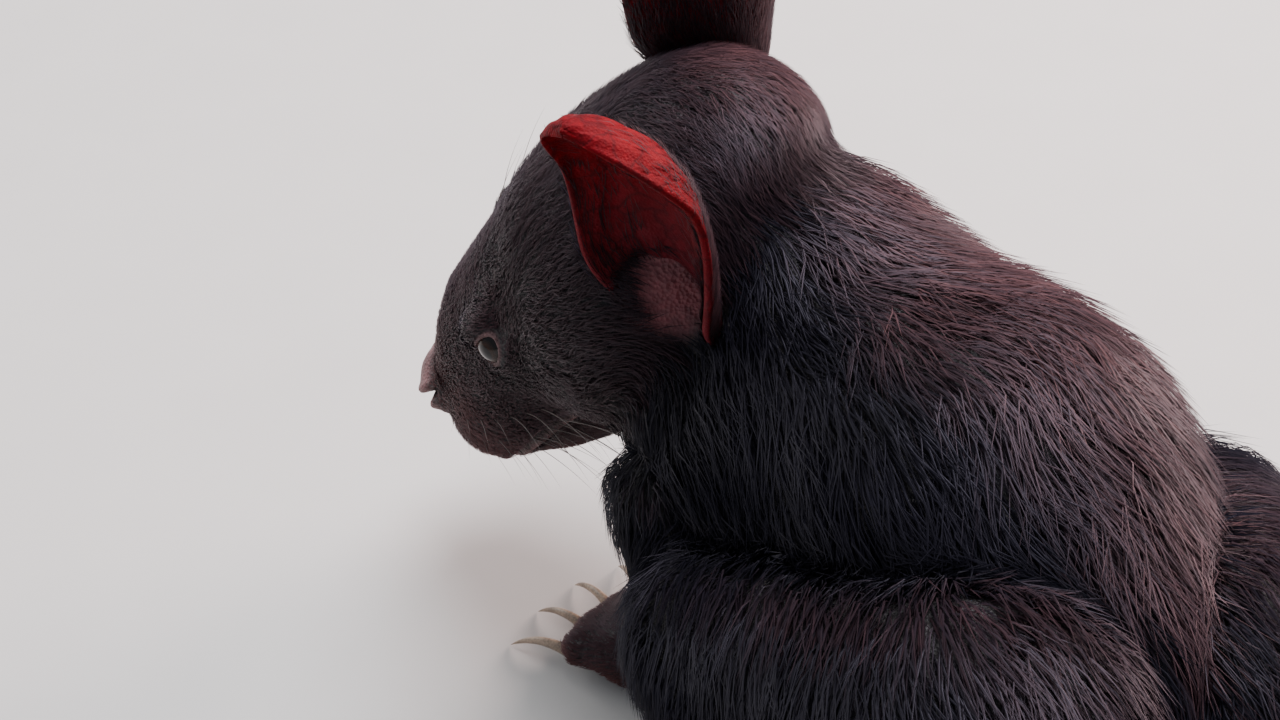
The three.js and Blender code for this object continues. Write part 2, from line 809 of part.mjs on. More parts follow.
// The plane that parts two bones at their joint, halfway between their directions
function parting(joint, towardA, towardB, shift = 0) {
  const a = towardA.clone().sub(joint).normalize();
  const b = towardB.clone().sub(joint).normalize();
  const normal = a.sub(b).normalize();
  return { point: joint.clone().addScaledVector(normal, shift), normal };
}

// The two parts of a solid on either side of a plane, a gap apart
function partedSide(solid, { point, normal }, side) {
  return solid.intersect(halfSpace(point, normal.clone().multiplyScalar(side), GAP / 2));
}

const MATERIAL = {
  coat: new THREE.MeshStandardMaterial({ color: 0x1d1718, roughness: 0.78, metalness: 0 }),
  face: new THREE.MeshStandardMaterial({ color: 0x261b1c, roughness: 0.74, metalness: 0 }),
  ear: new THREE.MeshStandardMaterial({ color: 0x6e1c24, roughness: 0.55, metalness: 0 }),
  nose: new THREE.MeshStandardMaterial({ color: 0x8a5a5c, roughness: 0.42, metalness: 0 }),
  eye: new THREE.MeshStandardMaterial({ color: 0x0d0807, roughness: 0.08, metalness: 0 }),
  paw: new THREE.MeshStandardMaterial({ color: 0x3b2220, roughness: 0.66, metalness: 0 }),
};

const devil = new THREE.Group();

function add(name, solid, material) {
  const mesh = new THREE.Mesh(geometryOf(solid.intersect(ABOVE_FLOOR)), material);
  mesh.name = name;
  devil.add(mesh);
}

// Assembly: each piece is cut clear of those it grows from

const headCutter = clearOf(headMesh);
const trunkCutter = clearOf(trunkMesh);
const noseMesh = surface(noseBody(), FACET.nose);
let skull = solidOf(headMesh);
for (const s of [LEFT, RIGHT]) {
  const socket = solidOf(meshOf(eyeBall(s, EYE.radius + 1.25 * GAP)));
  skull = skull.subtract(socket).subtract(solidOf(meshOf(lidSlit(s))));
}
add('head', skull, MATERIAL.face);
add('nose', solidOf(noseMesh).subtract(headCutter), MATERIAL.nose);

const earPose = {
  left: [[-0.38, 0.22, 0.9], [0.5, 0.85, 0.1]],
  right: [[-0.42, 0.26, 0.9], [0.6, 0.8, 0.1]],
};
for (const [side, s] of [['left', LEFT], ['right', RIGHT]]) {
  const ear = outward(earMesh(earFrame(s, ...earPose[side])));
  add(`ear_${side}`, solidOf(ear).subtract(headCutter).subtract(trunkCutter), MATERIAL.ear);
  add(`eye_${side}`, solidOf(meshOf(eyeBall(s, EYE.radius))), MATERIAL.eye);
}

const trunk = solidOf(trunkMesh).subtract(headCutter);
const neckCut = {
  point: mix(chest, occiput, 0.12),
  normal: heading(SPINE.nape.turn, SPINE.nape.rise),
};
const loinCut = { point: mix(loin, ribs, 0.25), normal: heading(0, 8) };
const shoulders = partedSide(trunk, neckCut, -1);
add('neck', partedSide(trunk, neckCut, 1), MATERIAL.coat);
add('torso_front', partedSide(shoulders, loinCut, 1), MATERIAL.coat);
add('torso_rear', partedSide(shoulders, loinCut, -1), MATERIAL.coat);

// The tail leaves the rump, comes down to the floor and lies there in a slow bend
const onFloor = (share, radius) => body
  .at(-TAIL.rump - share * TAIL.length, TAIL.bend * share ** 1.6, 0).setZ(radius - 0.8);
const tailPath = new THREE.CatmullRomCurve3([
  body.at(-24, 0, -12),
  body.at(-TAIL.rump - 8, 0, -26),
  onFloor(0.25, TAIL.midRadius),
  onFloor(0.5, 12),
  onFloor(0.75, 8),
  onFloor(1, TAIL.tipRadius),
]);
function tailRadius(t) {
  const thick = THREE.MathUtils.lerp(TAIL.rootRadius, TAIL.midRadius, THREE.MathUtils.smoothstep(t, 0, 0.4));
  const slim = THREE.MathUtils.lerp(1, TAIL.tipRadius / TAIL.midRadius, Math.max(t - 0.35, 0) / 0.65);
  const tip = Math.sqrt(Math.max(1 - t ** 30, 0.02));
  return thick * slim * tip;
}
const tail = solidOf(outward(loft(ringsAlong(tailPath, tailRadius, 16, 10))));
add('tail', tail.subtract(trunkCutter), MATERIAL.coat);

const midline = { point: pelvis, normal: body.left };

for (const [side, leg] of Object.entries(legs)) {
  const knee = parting(leg.knee, leg.hip, leg.heel);
  const ankle = parting(leg.heel, leg.knee, leg.knuckles, 7);
  const forms = legForms(leg);
  const legMesh = surface(flesh(forms), FACET.limb);
  leg.cutter = clearOf(legMesh);
  const limb = partedSide(solidOf(legMesh).subtract(trunkCutter), midline, leg.side);
  add(`thigh_${side}`, partedSide(limb, knee, 1), MATERIAL.coat);
  add(`shank_${side}`, partedSide(partedSide(limb, knee, -1), ankle, 1), MATERIAL.coat);
  const stem = [forms[4], taper(leg.heel, 13, leg.knuckles.clone().setZ(12), 13, 8)];
  const footMesh = surface(flesh(pawForms(leg, HINDPAW, stem)), FACET.paw);
  let foot = partedSide(partedSide(solidOf(footMesh), knee, -1), ankle, -1);
  for (const toe of toesOf(leg, HINDPAW)) foot = foot.add(solidOf(clawMesh(toe, HINDPAW)));
  leg.footCutter = clearOf(footMesh);
  add(`hind_foot_${side}`, foot.subtract(trunkCutter), MATERIAL.paw);
}

for (const [side, arm] of Object.entries(arms)) {
  const elbow = parting(arm.elbow, arm.shoulder, arm.wrist);
  const wrist = parting(arm.wrist, arm.elbow, arm.knuckles);
  const forms = armForms(arm);
  const near = [headCutter, trunkCutter, legs[side].cutter, legs[side].footCutter];
  const clear = (solid) => near.reduce((rest, cutter) => rest.subtract(cutter), solid);
  const limb = clear(solidOf(surface(flesh(forms), FACET.forearm)));
  add(`upper_arm_${side}`, partedSide(limb, elbow, 1), MATERIAL.coat);
  add(`forearm_${side}`, partedSide(partedSide(limb, elbow, -1), wrist, 1), MATERIAL.paw);
  const stem = [forms[2], taper(arm.wrist, 14, arm.knuckles.clone().setZ(12), 12.5, 8)];
  const pawMesh = surface(flesh(pawForms(arm, FOREPAW, stem)), FACET.paw);
  let paw = partedSide(solidOf(pawMesh), wrist, -1);
  for (const toe of toesOf(arm, FOREPAW)) paw = paw.add(solidOf(clawMesh(toe, FOREPAW)));
  add(`forepaw_${side}`, clear(paw), MATERIAL.paw);
}

// The origin is on the floor, under the middle of the whole
const extent = new THREE.Box3().setFromObject(devil);
devil.position.set(-(extent.min.x + extent.max.x) / 2, -(extent.min.y + extent.max.y) / 2, 0);

export default devil;
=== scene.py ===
# A life-size Tasmanian devil: skin, coat, ears, eyes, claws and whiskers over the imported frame.
# Shapes are worked out in millimetres and become Blender's metres when their mesh is made.
import math

import bpy
import numpy as np
from bpy.props import FloatProperty, FloatVectorProperty, IntProperty, PointerProperty
from mathutils import Matrix, Vector
from mathutils.bvhtree import BVHTree


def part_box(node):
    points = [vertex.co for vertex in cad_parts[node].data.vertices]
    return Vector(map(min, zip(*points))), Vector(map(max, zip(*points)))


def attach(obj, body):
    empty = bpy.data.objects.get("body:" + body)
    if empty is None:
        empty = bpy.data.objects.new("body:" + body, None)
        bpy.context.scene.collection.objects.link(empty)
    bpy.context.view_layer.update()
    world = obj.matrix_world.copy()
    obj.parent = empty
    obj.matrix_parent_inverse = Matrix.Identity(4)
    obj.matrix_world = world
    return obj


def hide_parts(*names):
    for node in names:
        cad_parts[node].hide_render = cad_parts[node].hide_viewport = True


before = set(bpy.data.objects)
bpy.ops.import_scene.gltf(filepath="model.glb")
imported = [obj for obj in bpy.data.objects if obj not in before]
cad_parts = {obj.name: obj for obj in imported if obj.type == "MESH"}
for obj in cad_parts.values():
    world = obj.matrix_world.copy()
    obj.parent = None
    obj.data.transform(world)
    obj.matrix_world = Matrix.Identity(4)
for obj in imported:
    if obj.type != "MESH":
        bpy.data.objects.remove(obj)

bl_info = {
    "name": "Tasmanian Devil",
    "version": (1, 0, 0),
    "blender": (4, 5, 0),
    "location": "View3D > Sidebar > Devil",
    "description": "Dresses the devil's solids with skin, coat, ears, eyes, claws and whiskers",
    "category": "Object",
}

MM = 0.001
LEFT, RIGHT = 1, -1
SEED = 20


# Directions and places


def heading(turn, rise):
    """The direction at turn degrees to the animal's left of ahead and rise degrees above level"""
    t, r = math.radians(turn), math.radians(rise)
    return np.array([math.sin(t) * math.cos(r), -math.cos(t) * math.cos(r), math.sin(r)])


def unit(vectors):
    """Vectors scaled to length one"""
    size = np.linalg.norm(vectors, axis=-1, keepdims=True)
    return vectors / np.maximum(size, 1e-9)


def smoothstep(x, low, high):
    """0 below low, 1 above high and a smooth rise between"""
    t = np.clip((x - low) / (high - low), 0, 1)
    return t * t * (3 - 2 * t)


class Axes:
    """A place with three directions of its own"""

    def __init__(self, origin, first, second, third):
        self.origin = np.asarray(origin, float)
        self.rows = np.array([first, second, third], float)

    def place(self, *local):
        """The place that has these coordinates"""
        return self.origin + np.asarray(local, float) @ self.rows

    def aim(self, *local):
        """The direction that has these coordinates"""
        return unit(np.asarray(local, float) @ self.rows)

    def local(self, points):
        """The coordinates of these places"""
        return (points - self.origin) @ self.rows.T


# The head's axes: forward, left and up from the back of the skull

HEAD_TURN, HEAD_PITCH, HEAD_ROLL = 49, -44, -13
EYE_AHEAD, EYE_ASIDE, EYE_ABOVE = 82, 26, 14
EYE_RADIUS = 7.0
NOSE_TIP = 140


def centre_of(node):
    """The middle of a CAD node's box"""
    low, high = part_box(node)
    return np.array((low + high) / 2) / MM


def head_axes():
    """Axes by the head's turn, pitch and roll, with the origin found from the two eyeballs"""
    forward = heading(HEAD_TURN, HEAD_PITCH)
    level = heading(HEAD_TURN + 90, 0)
    roll = math.radians(HEAD_ROLL)
    left = level * math.cos(roll) + np.cross(forward, level) * math.sin(roll)
    up = np.cross(forward, left)
    between_eyes = (centre_of("eye_left") + centre_of("eye_right")) / 2
    return Axes(between_eyes - EYE_AHEAD * forward - EYE_ABOVE * up, forward, left, up)


HEAD = head_axes()


def from_head(x, y, z=None):
    """A place on the floor plan, or in the room, measured from the back of the skull"""
    offset = (x, y) if z is None else (x, y, z)
    return tuple(HEAD.origin[: len(offset)] + offset)


def eye_axes(side):
    """Along the lids, across them, and out of the eye"""
    out = HEAD.aim(0.42, side * 0.82, 0.38)
    along = HEAD.aim(1, 0, -0.35)
    along = unit(along - (along @ out) * out)
    return Axes(HEAD.place(EYE_AHEAD, side * EYE_ASIDE, EYE_ABOVE), along, np.cross(out, along), out)


# Paws: the places of the knuckles, and the toes that fan out from them

FOREPAW = {"toes": 5, "fan": 58, "spread": 33, "toe": 21, "radius": 6.4, "claw": 13}
HINDPAW = {"toes": 4, "fan": 26, "spread": 27, "toe": 20, "radius": 6.8, "claw": 11}
PAWS = {
    "forepaw_left": {"knuckles": from_head(38.0, 21.2), "turn": 16, **FOREPAW},
    "forepaw_right": {"knuckles": from_head(-47.4, 0.7), "turn": -8, **FOREPAW},
    "hind_foot_left": {"knuckles": from_head(51.4, 104.7), "turn": 12, **HINDPAW},
    "hind_foot_right": {"knuckles": from_head(-102.9, 109.8), "turn": -16, **HINDPAW},
}
KNUCKLE_HEIGHT = 12
TOE_TIP = 0.78  # half the thickness of a toe's end, as a share of its radius
TOE_SINK = 0.7  # how much of it is pressed flat on the floor


def toes_of(paw):
    """Each toe's base, joint, end and the direction that it points in"""
    sideways, ahead = heading(paw["turn"] + 90, 0), heading(paw["turn"], 0)
    toes = []
    for n in range(paw["toes"]):
        across = n / (paw["toes"] - 1) - 0.5
        turn = paw["turn"] + across * paw["fan"]
        bow = 1 - 2.2 * across * across
        base = np.array([*paw["knuckles"], KNUCKLE_HEIGHT])
        base = base + sideways * across * (paw["spread"] - 8) + ahead * (4 * bow - 2)
        joint = base + heading(turn, -4) * paw["toe"] * 0.55
        end = joint + heading(turn, -38) * paw["toe"] * 0.45 * (0.8 + 0.3 * bow)
        end[2] = paw["radius"] * TOE_TIP - TOE_SINK
        toes.append({"base": base, "joint": joint, "end": end, "aim": heading(turn, 0), "turn": turn})
    return toes


# Mesh arithmetic on arrays of points and triangles


def node_arrays(name):
    """A CAD node's points in millimetres and its triangles, with equal points merged"""
    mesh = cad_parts[name].data
    points = np.empty(len(mesh.vertices) * 3)
    mesh.vertices.foreach_get("co", points)
    points = points.reshape(-1, 3) / MM
    mesh.calc_loop_triangles()
    faces = np.empty(len(mesh.loop_triangles) * 3, np.int32)
    mesh.loop_triangles.foreach_get("vertices", faces)
    _, first, same = np.unique(np.round(points, 2), axis=0, return_index=True, return_inverse=True)
    return points[first], same.reshape(-1)[faces].reshape(-1, 3)


def spread(count, index, values):
    """The sum of the values that fall on each index"""
    columns = [np.bincount(index, weights=column, minlength=count) for column in values.T]
    return np.stack(columns, axis=1)


def face_normals(points, faces):
    """Each triangle's normal, as long as its area"""
    a, b, c = (points[faces[:, k]] for k in range(3))
    return np.cross(b - a, c - a) / 2


def vertex_normals(points, faces):
    """Each point's normal, from the triangles round it"""
    normals = np.repeat(face_normals(points, faces), 3, axis=0)
    return unit(spread(len(points), faces.reshape(-1), normals))


def edges_of(faces):
    """The unique edges, and for each triangle the numbers of its edges"""
    pairs = np.concatenate([faces[:, [0, 1]], faces[:, [1, 2]], faces[:, [2, 0]]])
    pairs.sort(axis=1)
    edges, number = np.unique(pairs, axis=0, return_inverse=True)
    return edges, number.reshape(3, -1).T


def averaged(values, edges, rounds, weight=0.5):
    """Values drawn towards the mean of their neighbours, round after round"""
    flat = values.reshape(len(values), -1)
    ends, others = edges.T.reshape(-1), edges[:, ::-1].T.reshape(-1)
    count = np.maximum(np.bincount(ends, minlength=len(flat)), 1)[:, None]
    for _ in range(rounds):
        flat = flat + weight * (spread(len(flat), ends, flat[others]) / count - flat)
    return flat.reshape(values.shape)


SHRINK, REGROW = 0.5, -0.52  # the two halves of a round of smoothing that keeps the volume


def evened(points, edges, rounds, share):
    """Points smoothed without shrinking, each by its own share"""
    for _ in range(rounds):
        points = averaged(points, edges, 1, SHRINK * share[:, None])
        points = averaged(points, edges, 1, REGROW * share[:, None])
    return points


def largest_island(points, faces):
    """The connected surface with the most points"""
    edges, _ = edges_of(faces)
    label = np.arange(len(points))
    while True:
        low = np.minimum(label[edges[:, 0]], label[edges[:, 1]])
        new = label.copy()
        np.minimum.at(new, edges[:, 0], low)
        np.minimum.at(new, edges[:, 1], low)
        new = new[new]
        if (new == label).all():
            break
        label = new
    kept = label == np.bincount(label).argmax()
    number = np.cumsum(kept) - 1
    return points[kept], number[faces[kept[faces[:, 0]]]]


LONGEST_EDGE = 1.45  # an edge is split once it is this many times the size wanted


def refined(points, faces, size_at):
    """Triangles split where an edge is longer than the size wanted there"""
    edges, number = edges_of(faces)
    ends = points[edges]
    middle = ends.mean(axis=1)
    long = np.linalg.norm(ends[:, 0] - ends[:, 1], axis=1) > LONGEST_EDGE * size_at(middle)
    made = np.where(long, len(points) + np.cumsum(long) - 1, -1)
    points = np.concatenate([points, middle[long]])
    split = made[number]
    count = (split >= 0).sum(axis=1)
    lone = np.where(count == 2, (split < 0).argmax(axis=1), (split >= 0).argmax(axis=1))
    order = (np.arange(3) + lone[:, None]) % 3
    a, b, c = np.take_along_axis(faces, order, 1).T
    ab, bc, ca = np.take_along_axis(split, order, 1).T
    patterns = {
        0: [(a, b, c)],
        1: [(a, ab, c), (ab, b, c)],
        2: [(a, b, bc), (a, bc, ca), (bc, c, ca)],
        3: [(a, ab, ca), (ab, b, bc), (ca, bc, c), (ab, bc, ca)],
    }
    new = []
    for pieces, group in patterns.items():
        new.extend(np.stack(corners, axis=1)[count == pieces] for corners in group)
    return points, np.concatenate(new)


def mesh_from(name, points, faces):
    """A mesh from points in millimetres and triangles"""
    mesh = bpy.data.meshes.new(name)
    mesh.vertices.add(len(points))
    mesh.vertices.foreach_set("co", (np.asarray(points) * MM).astype(np.float32).ravel())
    mesh.loops.add(faces.size)
    mesh.loops.foreach_set("vertex_index", faces.astype(np.int32).ravel())
    mesh.polygons.add(len(faces))
    mesh.polygons.foreach_set("loop_start", np.arange(0, faces.size, 3, dtype=np.int32))
    mesh.update(calc_edges=True)
    mesh.shade_smooth()
    return mesh


def put_attribute(mesh, name, values):
    """A number or a direction on each point of a mesh"""
    kind, field = ("FLOAT_VECTOR", "vector") if values.ndim == 2 else ("FLOAT", "value")
    layer = mesh.attributes.new(name, kind, "POINT")
    layer.data.foreach_set(field, values.astype(np.float32).ravel())


def link(name, mesh, material):
    """An object at the origin that shows the mesh"""
    made = bpy.data.objects.new(name, mesh)
    bpy.context.scene.collection.objects.link(made)
    mesh.materials.append(material)
    return made


def finish_piece(piece, slot, *nodes):
    """The piece rides on the body and stands for CAD nodes, which are hidden; its slot is not used"""
    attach(piece, "root")
    if nodes:
        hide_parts(*nodes)


# Materials


def put(tree, kind, inputs=None, **settings):
    """A node in a tree; inputs maps a socket to a value or to the output that feeds it"""
    made = tree.nodes.new(kind)
    for key, value in settings.items():
        setattr(made, key, value)
    for key, value in (inputs or {}).items():
        if isinstance(value, bpy.types.NodeSocket):
            tree.links.new(value, made.inputs[key])
        else:
            made.inputs[key].default_value = value
    return made


def maths(tree, operation, *values):
    """The result of a sum on values and sockets"""
    return put(tree, "ShaderNodeMath", dict(enumerate(values)), operation=operation).outputs[0]


def noise(tree, place, scale, detail):
    """A noise texture at a place"""
    return put(tree, "ShaderNodeTexNoise", {"Vector": place, "Scale": scale, "Detail": detail})


def blend(tree, share, first, second):
    """Two colours mixed by a share"""
    mixed = put(tree, "ShaderNodeMix", {"Factor": share, 6: first, 7: second}, data_type="RGBA")
    return mixed.outputs[2]


def shader_group(name, inputs, outputs, build):
    """A shader node group, made once"""
    if name in bpy.data.node_groups:
        return bpy.data.node_groups[name]
    group = bpy.data.node_groups.new(name, "ShaderNodeTree")
    for socket, kind, default in inputs:
        made = group.interface.new_socket(socket, in_out="INPUT", socket_type=kind)
        made.default_value = default
    for socket, kind in outputs:
        group.interface.new_socket(socket, in_out="OUTPUT", socket_type=kind)
    entry = group.nodes.new("NodeGroupInput")
    leave = group.nodes.new("NodeGroupOutput")
    for socket, value in build(group, entry.outputs).items():
        group.links.new(value, leave.inputs[socket])
    return group


def mottle_group():
    """Soft patches of two colours, with a finer grain in them"""

    def build(tree, given):
        place = put(tree, "ShaderNodeTexCoord").outputs["Object"]
        broad = noise(tree, place, given["Scale"], 3.0)
        fine = noise(tree, place, given["Grain"], 2.0)
        both = maths(tree, "ADD", broad.outputs["Fac"], fine.outputs["Fac"])
        share = put(tree, "ShaderNodeMapRange", {"Value": both, "From Min": 0.75, "From Max": 1.25})
        return {"Colour": blend(tree, share.outputs["Result"], given["Dark"], given["Light"])}

    return shader_group(
        "Mottle",
        [
            ("Dark", "NodeSocketColor", (0, 0, 0, 1)),
            ("Light", "NodeSocketColor", (1, 1, 1, 1)),
            ("Scale", "NodeSocketFloat", 40.0),
            ("Grain", "NodeSocketFloat", 400.0),
        ],
        [("Colour", "NodeSocketColor")],
        build,
    )


def veins_group():
    """Thin branching lines, bent by noise"""

    def build(tree, given):
        place = put(tree, "ShaderNodeTexCoord").outputs["Object"]
        sway = noise(tree, place, 90.0, 2.0)
        bent = put(
            tree,
            "ShaderNodeVectorMath",
            {0: sway.outputs["Color"], 1: (0.012, 0.012, 0.012), 2: place},
            operation="MULTIPLY_ADD",
        )
        cells = put(
            tree,
            "ShaderNodeTexVoronoi",
            {"Vector": bent.outputs[0], "Scale": given["Scale"]},
            feature="DISTANCE_TO_EDGE",
        )
        line = put(
            tree,
            "ShaderNodeMapRange",
            {"Value": cells.outputs["Distance"], "From Max": 0.07, "To Min": 0.55, "To Max": 0.0},
        )
        return {"Share": line.outputs["Result"]}

    return shader_group("Veins", [("Scale", "NodeSocketFloat", 95.0)], [("Share", "NodeSocketFloat")], build)


PORE_DEPTH = 0.0006


def pores_group():
    """The small raised cells and pits of bare skin, as a normal"""

    def build(tree, given):
        place = put(tree, "ShaderNodeTexCoord").outputs["Object"]
        cells = put(tree, "ShaderNodeTexVoronoi", {"Vector": place, "Scale": given["Cells"]})
        wrinkle = noise(tree, place, given["Wrinkles"], 4.0)
        height = maths(tree, "ADD", cells.outputs["Distance"], wrinkle.outputs["Fac"])
        relief = {"Height": height, "Strength": given["Strength"], "Distance": PORE_DEPTH}
        bump = put(tree, "ShaderNodeBump", relief)
        return {"Normal": bump.outputs["Normal"]}

    return shader_group(
        "Pores",
        [
            ("Cells", "NodeSocketFloat", 900.0),
            ("Wrinkles", "NodeSocketFloat", 250.0),
            ("Strength", "NodeSocketFloat", 0.6),
        ],
        [("Normal", "NodeSocketVector")],
        build,
    )


def material(name, roughness=0.5, **constants):
    """A material, its tree and its Principled shader"""
    made = bpy.data.materials.new(name)
    made.use_nodes = True
    shader = made.node_tree.nodes["Principled BSDF"]
    shader.inputs["Roughness"].default_value = roughness
    for socket, value in constants.items():
        shader.inputs[socket.replace("_", " ")].default_value = value
    return made, made.node_tree, shader


def rgba(colour, scale=1.0):
    """A colour with an alpha, as sockets want it"""
    return (*(channel * scale for channel in colour), 1.0)


def attribute(tree, name):
    """A number that a piece carries on its points"""
    return put(tree, "ShaderNodeAttribute", attribute_name=name).outputs["Fac"]


def placed_group(tree, group, values):
    """A shader group in a tree, with its own values"""
    made = put(tree, "ShaderNodeGroup", node_tree=group)
    for socket, value in values.items():
        made.inputs[socket].default_value = value
    return made.outputs[0]


def mottled(tree, light, dim, scale, grain):
    """A colour in soft patches, from a dimmed one to its full strength"""
    values = {"Dark": rgba(light, dim), "Light": rgba(light), "Scale": scale, "Grain": grain}
    return placed_group(tree, mottle_group(), values)


def pored(tree, cells, wrinkles, strength):
    """The normal of skin with pores and wrinkles"""
    values = {"Cells": cells, "Wrinkles": wrinkles, "Strength": strength}
    return placed_group(tree, pores_group(), values)


HIDE_LIGHT, BLACK_LIGHT = 2.2, 1.9  # how much lighter the pale patches of the darkest colours are


def hide_material(look):
    """Dark skin under the fur, with bare pink skin where the mask says so"""
    made, tree, shader = material("hide", 0.62, Subsurface_Weight=0.06)
    shader.inputs["Subsurface Radius"].default_value = (0.003, 0.0012, 0.0008)
    hidden = mottled(tree, [HIDE_LIGHT * c for c in look.hide], 1 / HIDE_LIGHT, 60.0, 600.0)
    bare = mottled(tree, look.bare, 0.45, 90.0, 1100.0)
    bowl = mottled(tree, look.bowl, 0.5, 70.0, 500.0)
    tone = blend(tree, attribute(tree, "bare"), hidden, bare)
    tone = blend(tree, attribute(tree, "bowl"), tone, bowl)
    # painted shade: the nostrils, the line of the mouth and the groove under the nose are darkened almost to
    # black
    tone = blend(tree, attribute(tree, "dark"), tone, rgba(look.bare, 0.04))
    tree.links.new(tone, shader.inputs["Base Color"])
    tree.links.new(pored(tree, 900.0, 260.0, 0.8), shader.inputs["Normal"])
    return made


def fur_material(name, look):
    """Dark hair, warmer where the marking and the painted sheen along the back say so, and paler still on
    the muzzle and toes
    """
    gloss = {"Specular_IOR_Level": 0.13, "Sheen_Weight": 0.02, "Sheen_Roughness": 0.4}
    made, tree, shader = material(name, 0.42, **gloss)
    shader.inputs["Sheen Tint"].default_value = (0.55, 0.62, 1.0, 1.0)
    shader.inputs["Specular Tint"].default_value = (0.86, 0.80, 1.0, 1.0)
    along, tint, brown = (attribute(tree, n) for n in ("along", "tint", "brown"))
    dark = mottled(tree, [BLACK_LIGHT * c for c in look.black], 1 / BLACK_LIGHT, 22.0, 260.0)
    warm = mottled(tree, look.brown, 0.7, 30.0, 300.0)
    pale = mottled(tree, look.pale, 0.7, 60.0, 300.0)
    lift = maths(tree, "MULTIPLY_ADD", along, 0.35, 0.75)
    share = maths(tree, "MULTIPLY", brown, maths(tree, "MULTIPLY", tint, lift))
    low = put(tree, "ShaderNodeMapRange", {"Value": share, "From Max": 0.5})
    high = put(tree, "ShaderNodeMapRange", {"Value": share, "From Min": 0.5})
    tone = blend(tree, low.outputs["Result"], dark, warm)
    tree.links.new(blend(tree, high.outputs["Result"], tone, pale), shader.inputs["Base Color"])
    return made


# Sizes and colours that a user would change


def length(name, description, default):
    """A length that a user can set"""
    return FloatProperty(name=name, description=description, default=default, unit="LENGTH", precision=4)


def colour(name, description, default):
    """A colour that a user can set"""
    return FloatVectorProperty(
        name=name, description=description, default=default, subtype="COLOR", size=3, min=0, max=1
    )


class DevilSkinSettings(bpy.types.PropertyGroup):
    voxel: length("Voxel", "Mesh size of the skin before it is refined", 0.0025)
    slit_length: length("Slit length", "Length of the opening between the lids", 0.0138)
    slit_height: length("Slit height", "Height of the opening between the lids", 0.0084)
    lid: length("Lid", "Thickness of the rims of the lids over the eyeball", 0.0011)
    hide: colour("Hide", "Skin under the fur", (0.0075, 0.0058, 0.0062))
    bare: colour("Bare skin", "Nose, lips, lids and soles", (0.19, 0.082, 0.082))
    bowl: colour("Ear bowl", "Bare skin at the bottom of the ears", (0.19, 0.042, 0.050))


class DevilEyeSettings(bpy.types.PropertyGroup):
    radius: length("Radius", "Radius of the eyeball", EYE_RADIUS * MM)
    cornea: length("Cornea", "How far the clear front of the eye stands out", 0.0006)
    iris: colour("Iris", "Ring round the pupil", (0.026, 0.011, 0.006))


class DevilEarSettings(bpy.types.PropertyGroup):
    height: length("Height", "From the root to the tip", 0.057)
    width: length("Width", "Across the widest place", 0.046)
    root_width: length("Root width", "Across the root", 0.033)
    thickness: length("Thickness", "Of the wall at the root", 0.0026)
    rim: length("Rim", "Of the wall at the tip", 0.0015)
    # the skin colour is partly the ear's own red and partly a painted glow of light shining through the thin
    # skin
    skin: colour("Skin", "Thin skin near the rim of the ear", (0.17, 0.0006, 0.0042))
    deep: colour("Deep skin", "Skin low in the cup and on the back", (0.13, 0.015, 0.022))


class DevilCoatSettings(bpy.types.PropertyGroup):
    layers: FloatProperty(name="Layers", description="How many hairs lie over each place", default=3.9)
    black: colour("Black", "Main colour of the coat", (0.0026, 0.0024, 0.0040))
    # the brown along the back is partly the hair's own colour and partly a painted warm sheen
    brown: colour("Brown", "Warm colour of the face, the paws and along the back", (0.060, 0.028, 0.030))
    pale: colour("Pale", "Colour of the hair round the nose and on the toes", (0.21, 0.092, 0.082))


class DevilClawSettings(bpy.types.PropertyGroup):
    root_radius: length("Root radius", "Radius of a claw where it leaves the toe", 0.0024)
    horn: colour("Horn", "Colour of the claws", (0.42, 0.31, 0.22))


class DevilWhiskerSettings(bpy.types.PropertyGroup):
    radius: length("Radius", "Radius of a whisker at its root", 0.00022)
    rows: IntProperty(name="Rows", description="Rows of whiskers on each side of the muzzle", default=4)
    tone: colour("Tone", "Colour of the whiskers", (0.11, 0.085, 0.075))


class DevilStageSettings(bpy.types.PropertyGroup):
    floor: colour("Floor", "Colour of the floor", (0.56, 0.545, 0.52))
    light: FloatProperty(name="Light", description="Strength of the main light in watts", default=20.0)


# Skin

FLESH = [name for name in sorted(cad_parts) if not name.startswith(("eye_", "ear_"))]
SWELL = 0.4  # neighbours are swollen to close the thin cuts between them


def without_claws(points, paw):
    """A paw's points with those of the claws drawn back into the toes"""
    points = points.copy()
    for toe in toes_of(paw):
        tip = paw["radius"] * TOE_TIP
        offset = points - toe["end"]
        ahead = offset @ toe["aim"]
        aside = np.abs(offset @ np.cross(toe["aim"], (0, 0, 1)))
        claw = (ahead > tip) & (aside < 3.4) & (ahead < tip + paw["claw"] + 6)
        points[claw] = toe["end"] + toe["aim"] * tip * 0.9
    return points


def remeshed(points, faces, voxel):
    """One closed surface round overlapping closed pieces"""
    source = bpy.data.objects.new("flesh", mesh_from("flesh", points, faces))
    bpy.context.scene.collection.objects.link(source)
    remesh = source.modifiers.new("Remesh", "REMESH")
    remesh.mode = "VOXEL"
    remesh.voxel_size = voxel
    whole = source.evaluated_get(bpy.context.evaluated_depsgraph_get())
    mesh = bpy.data.meshes.new_from_object(whole)
    bpy.data.objects.remove(source)
    points = np.empty(len(mesh.vertices) * 3)
    mesh.vertices.foreach_get("co", points)
    mesh.calc_loop_triangles()
    faces = np.empty(len(mesh.loop_triangles) * 3, np.int32)
    mesh.loop_triangles.foreach_get("vertices", faces)
    return largest_island(points.reshape(-1, 3) / MM, faces.reshape(-1, 3))


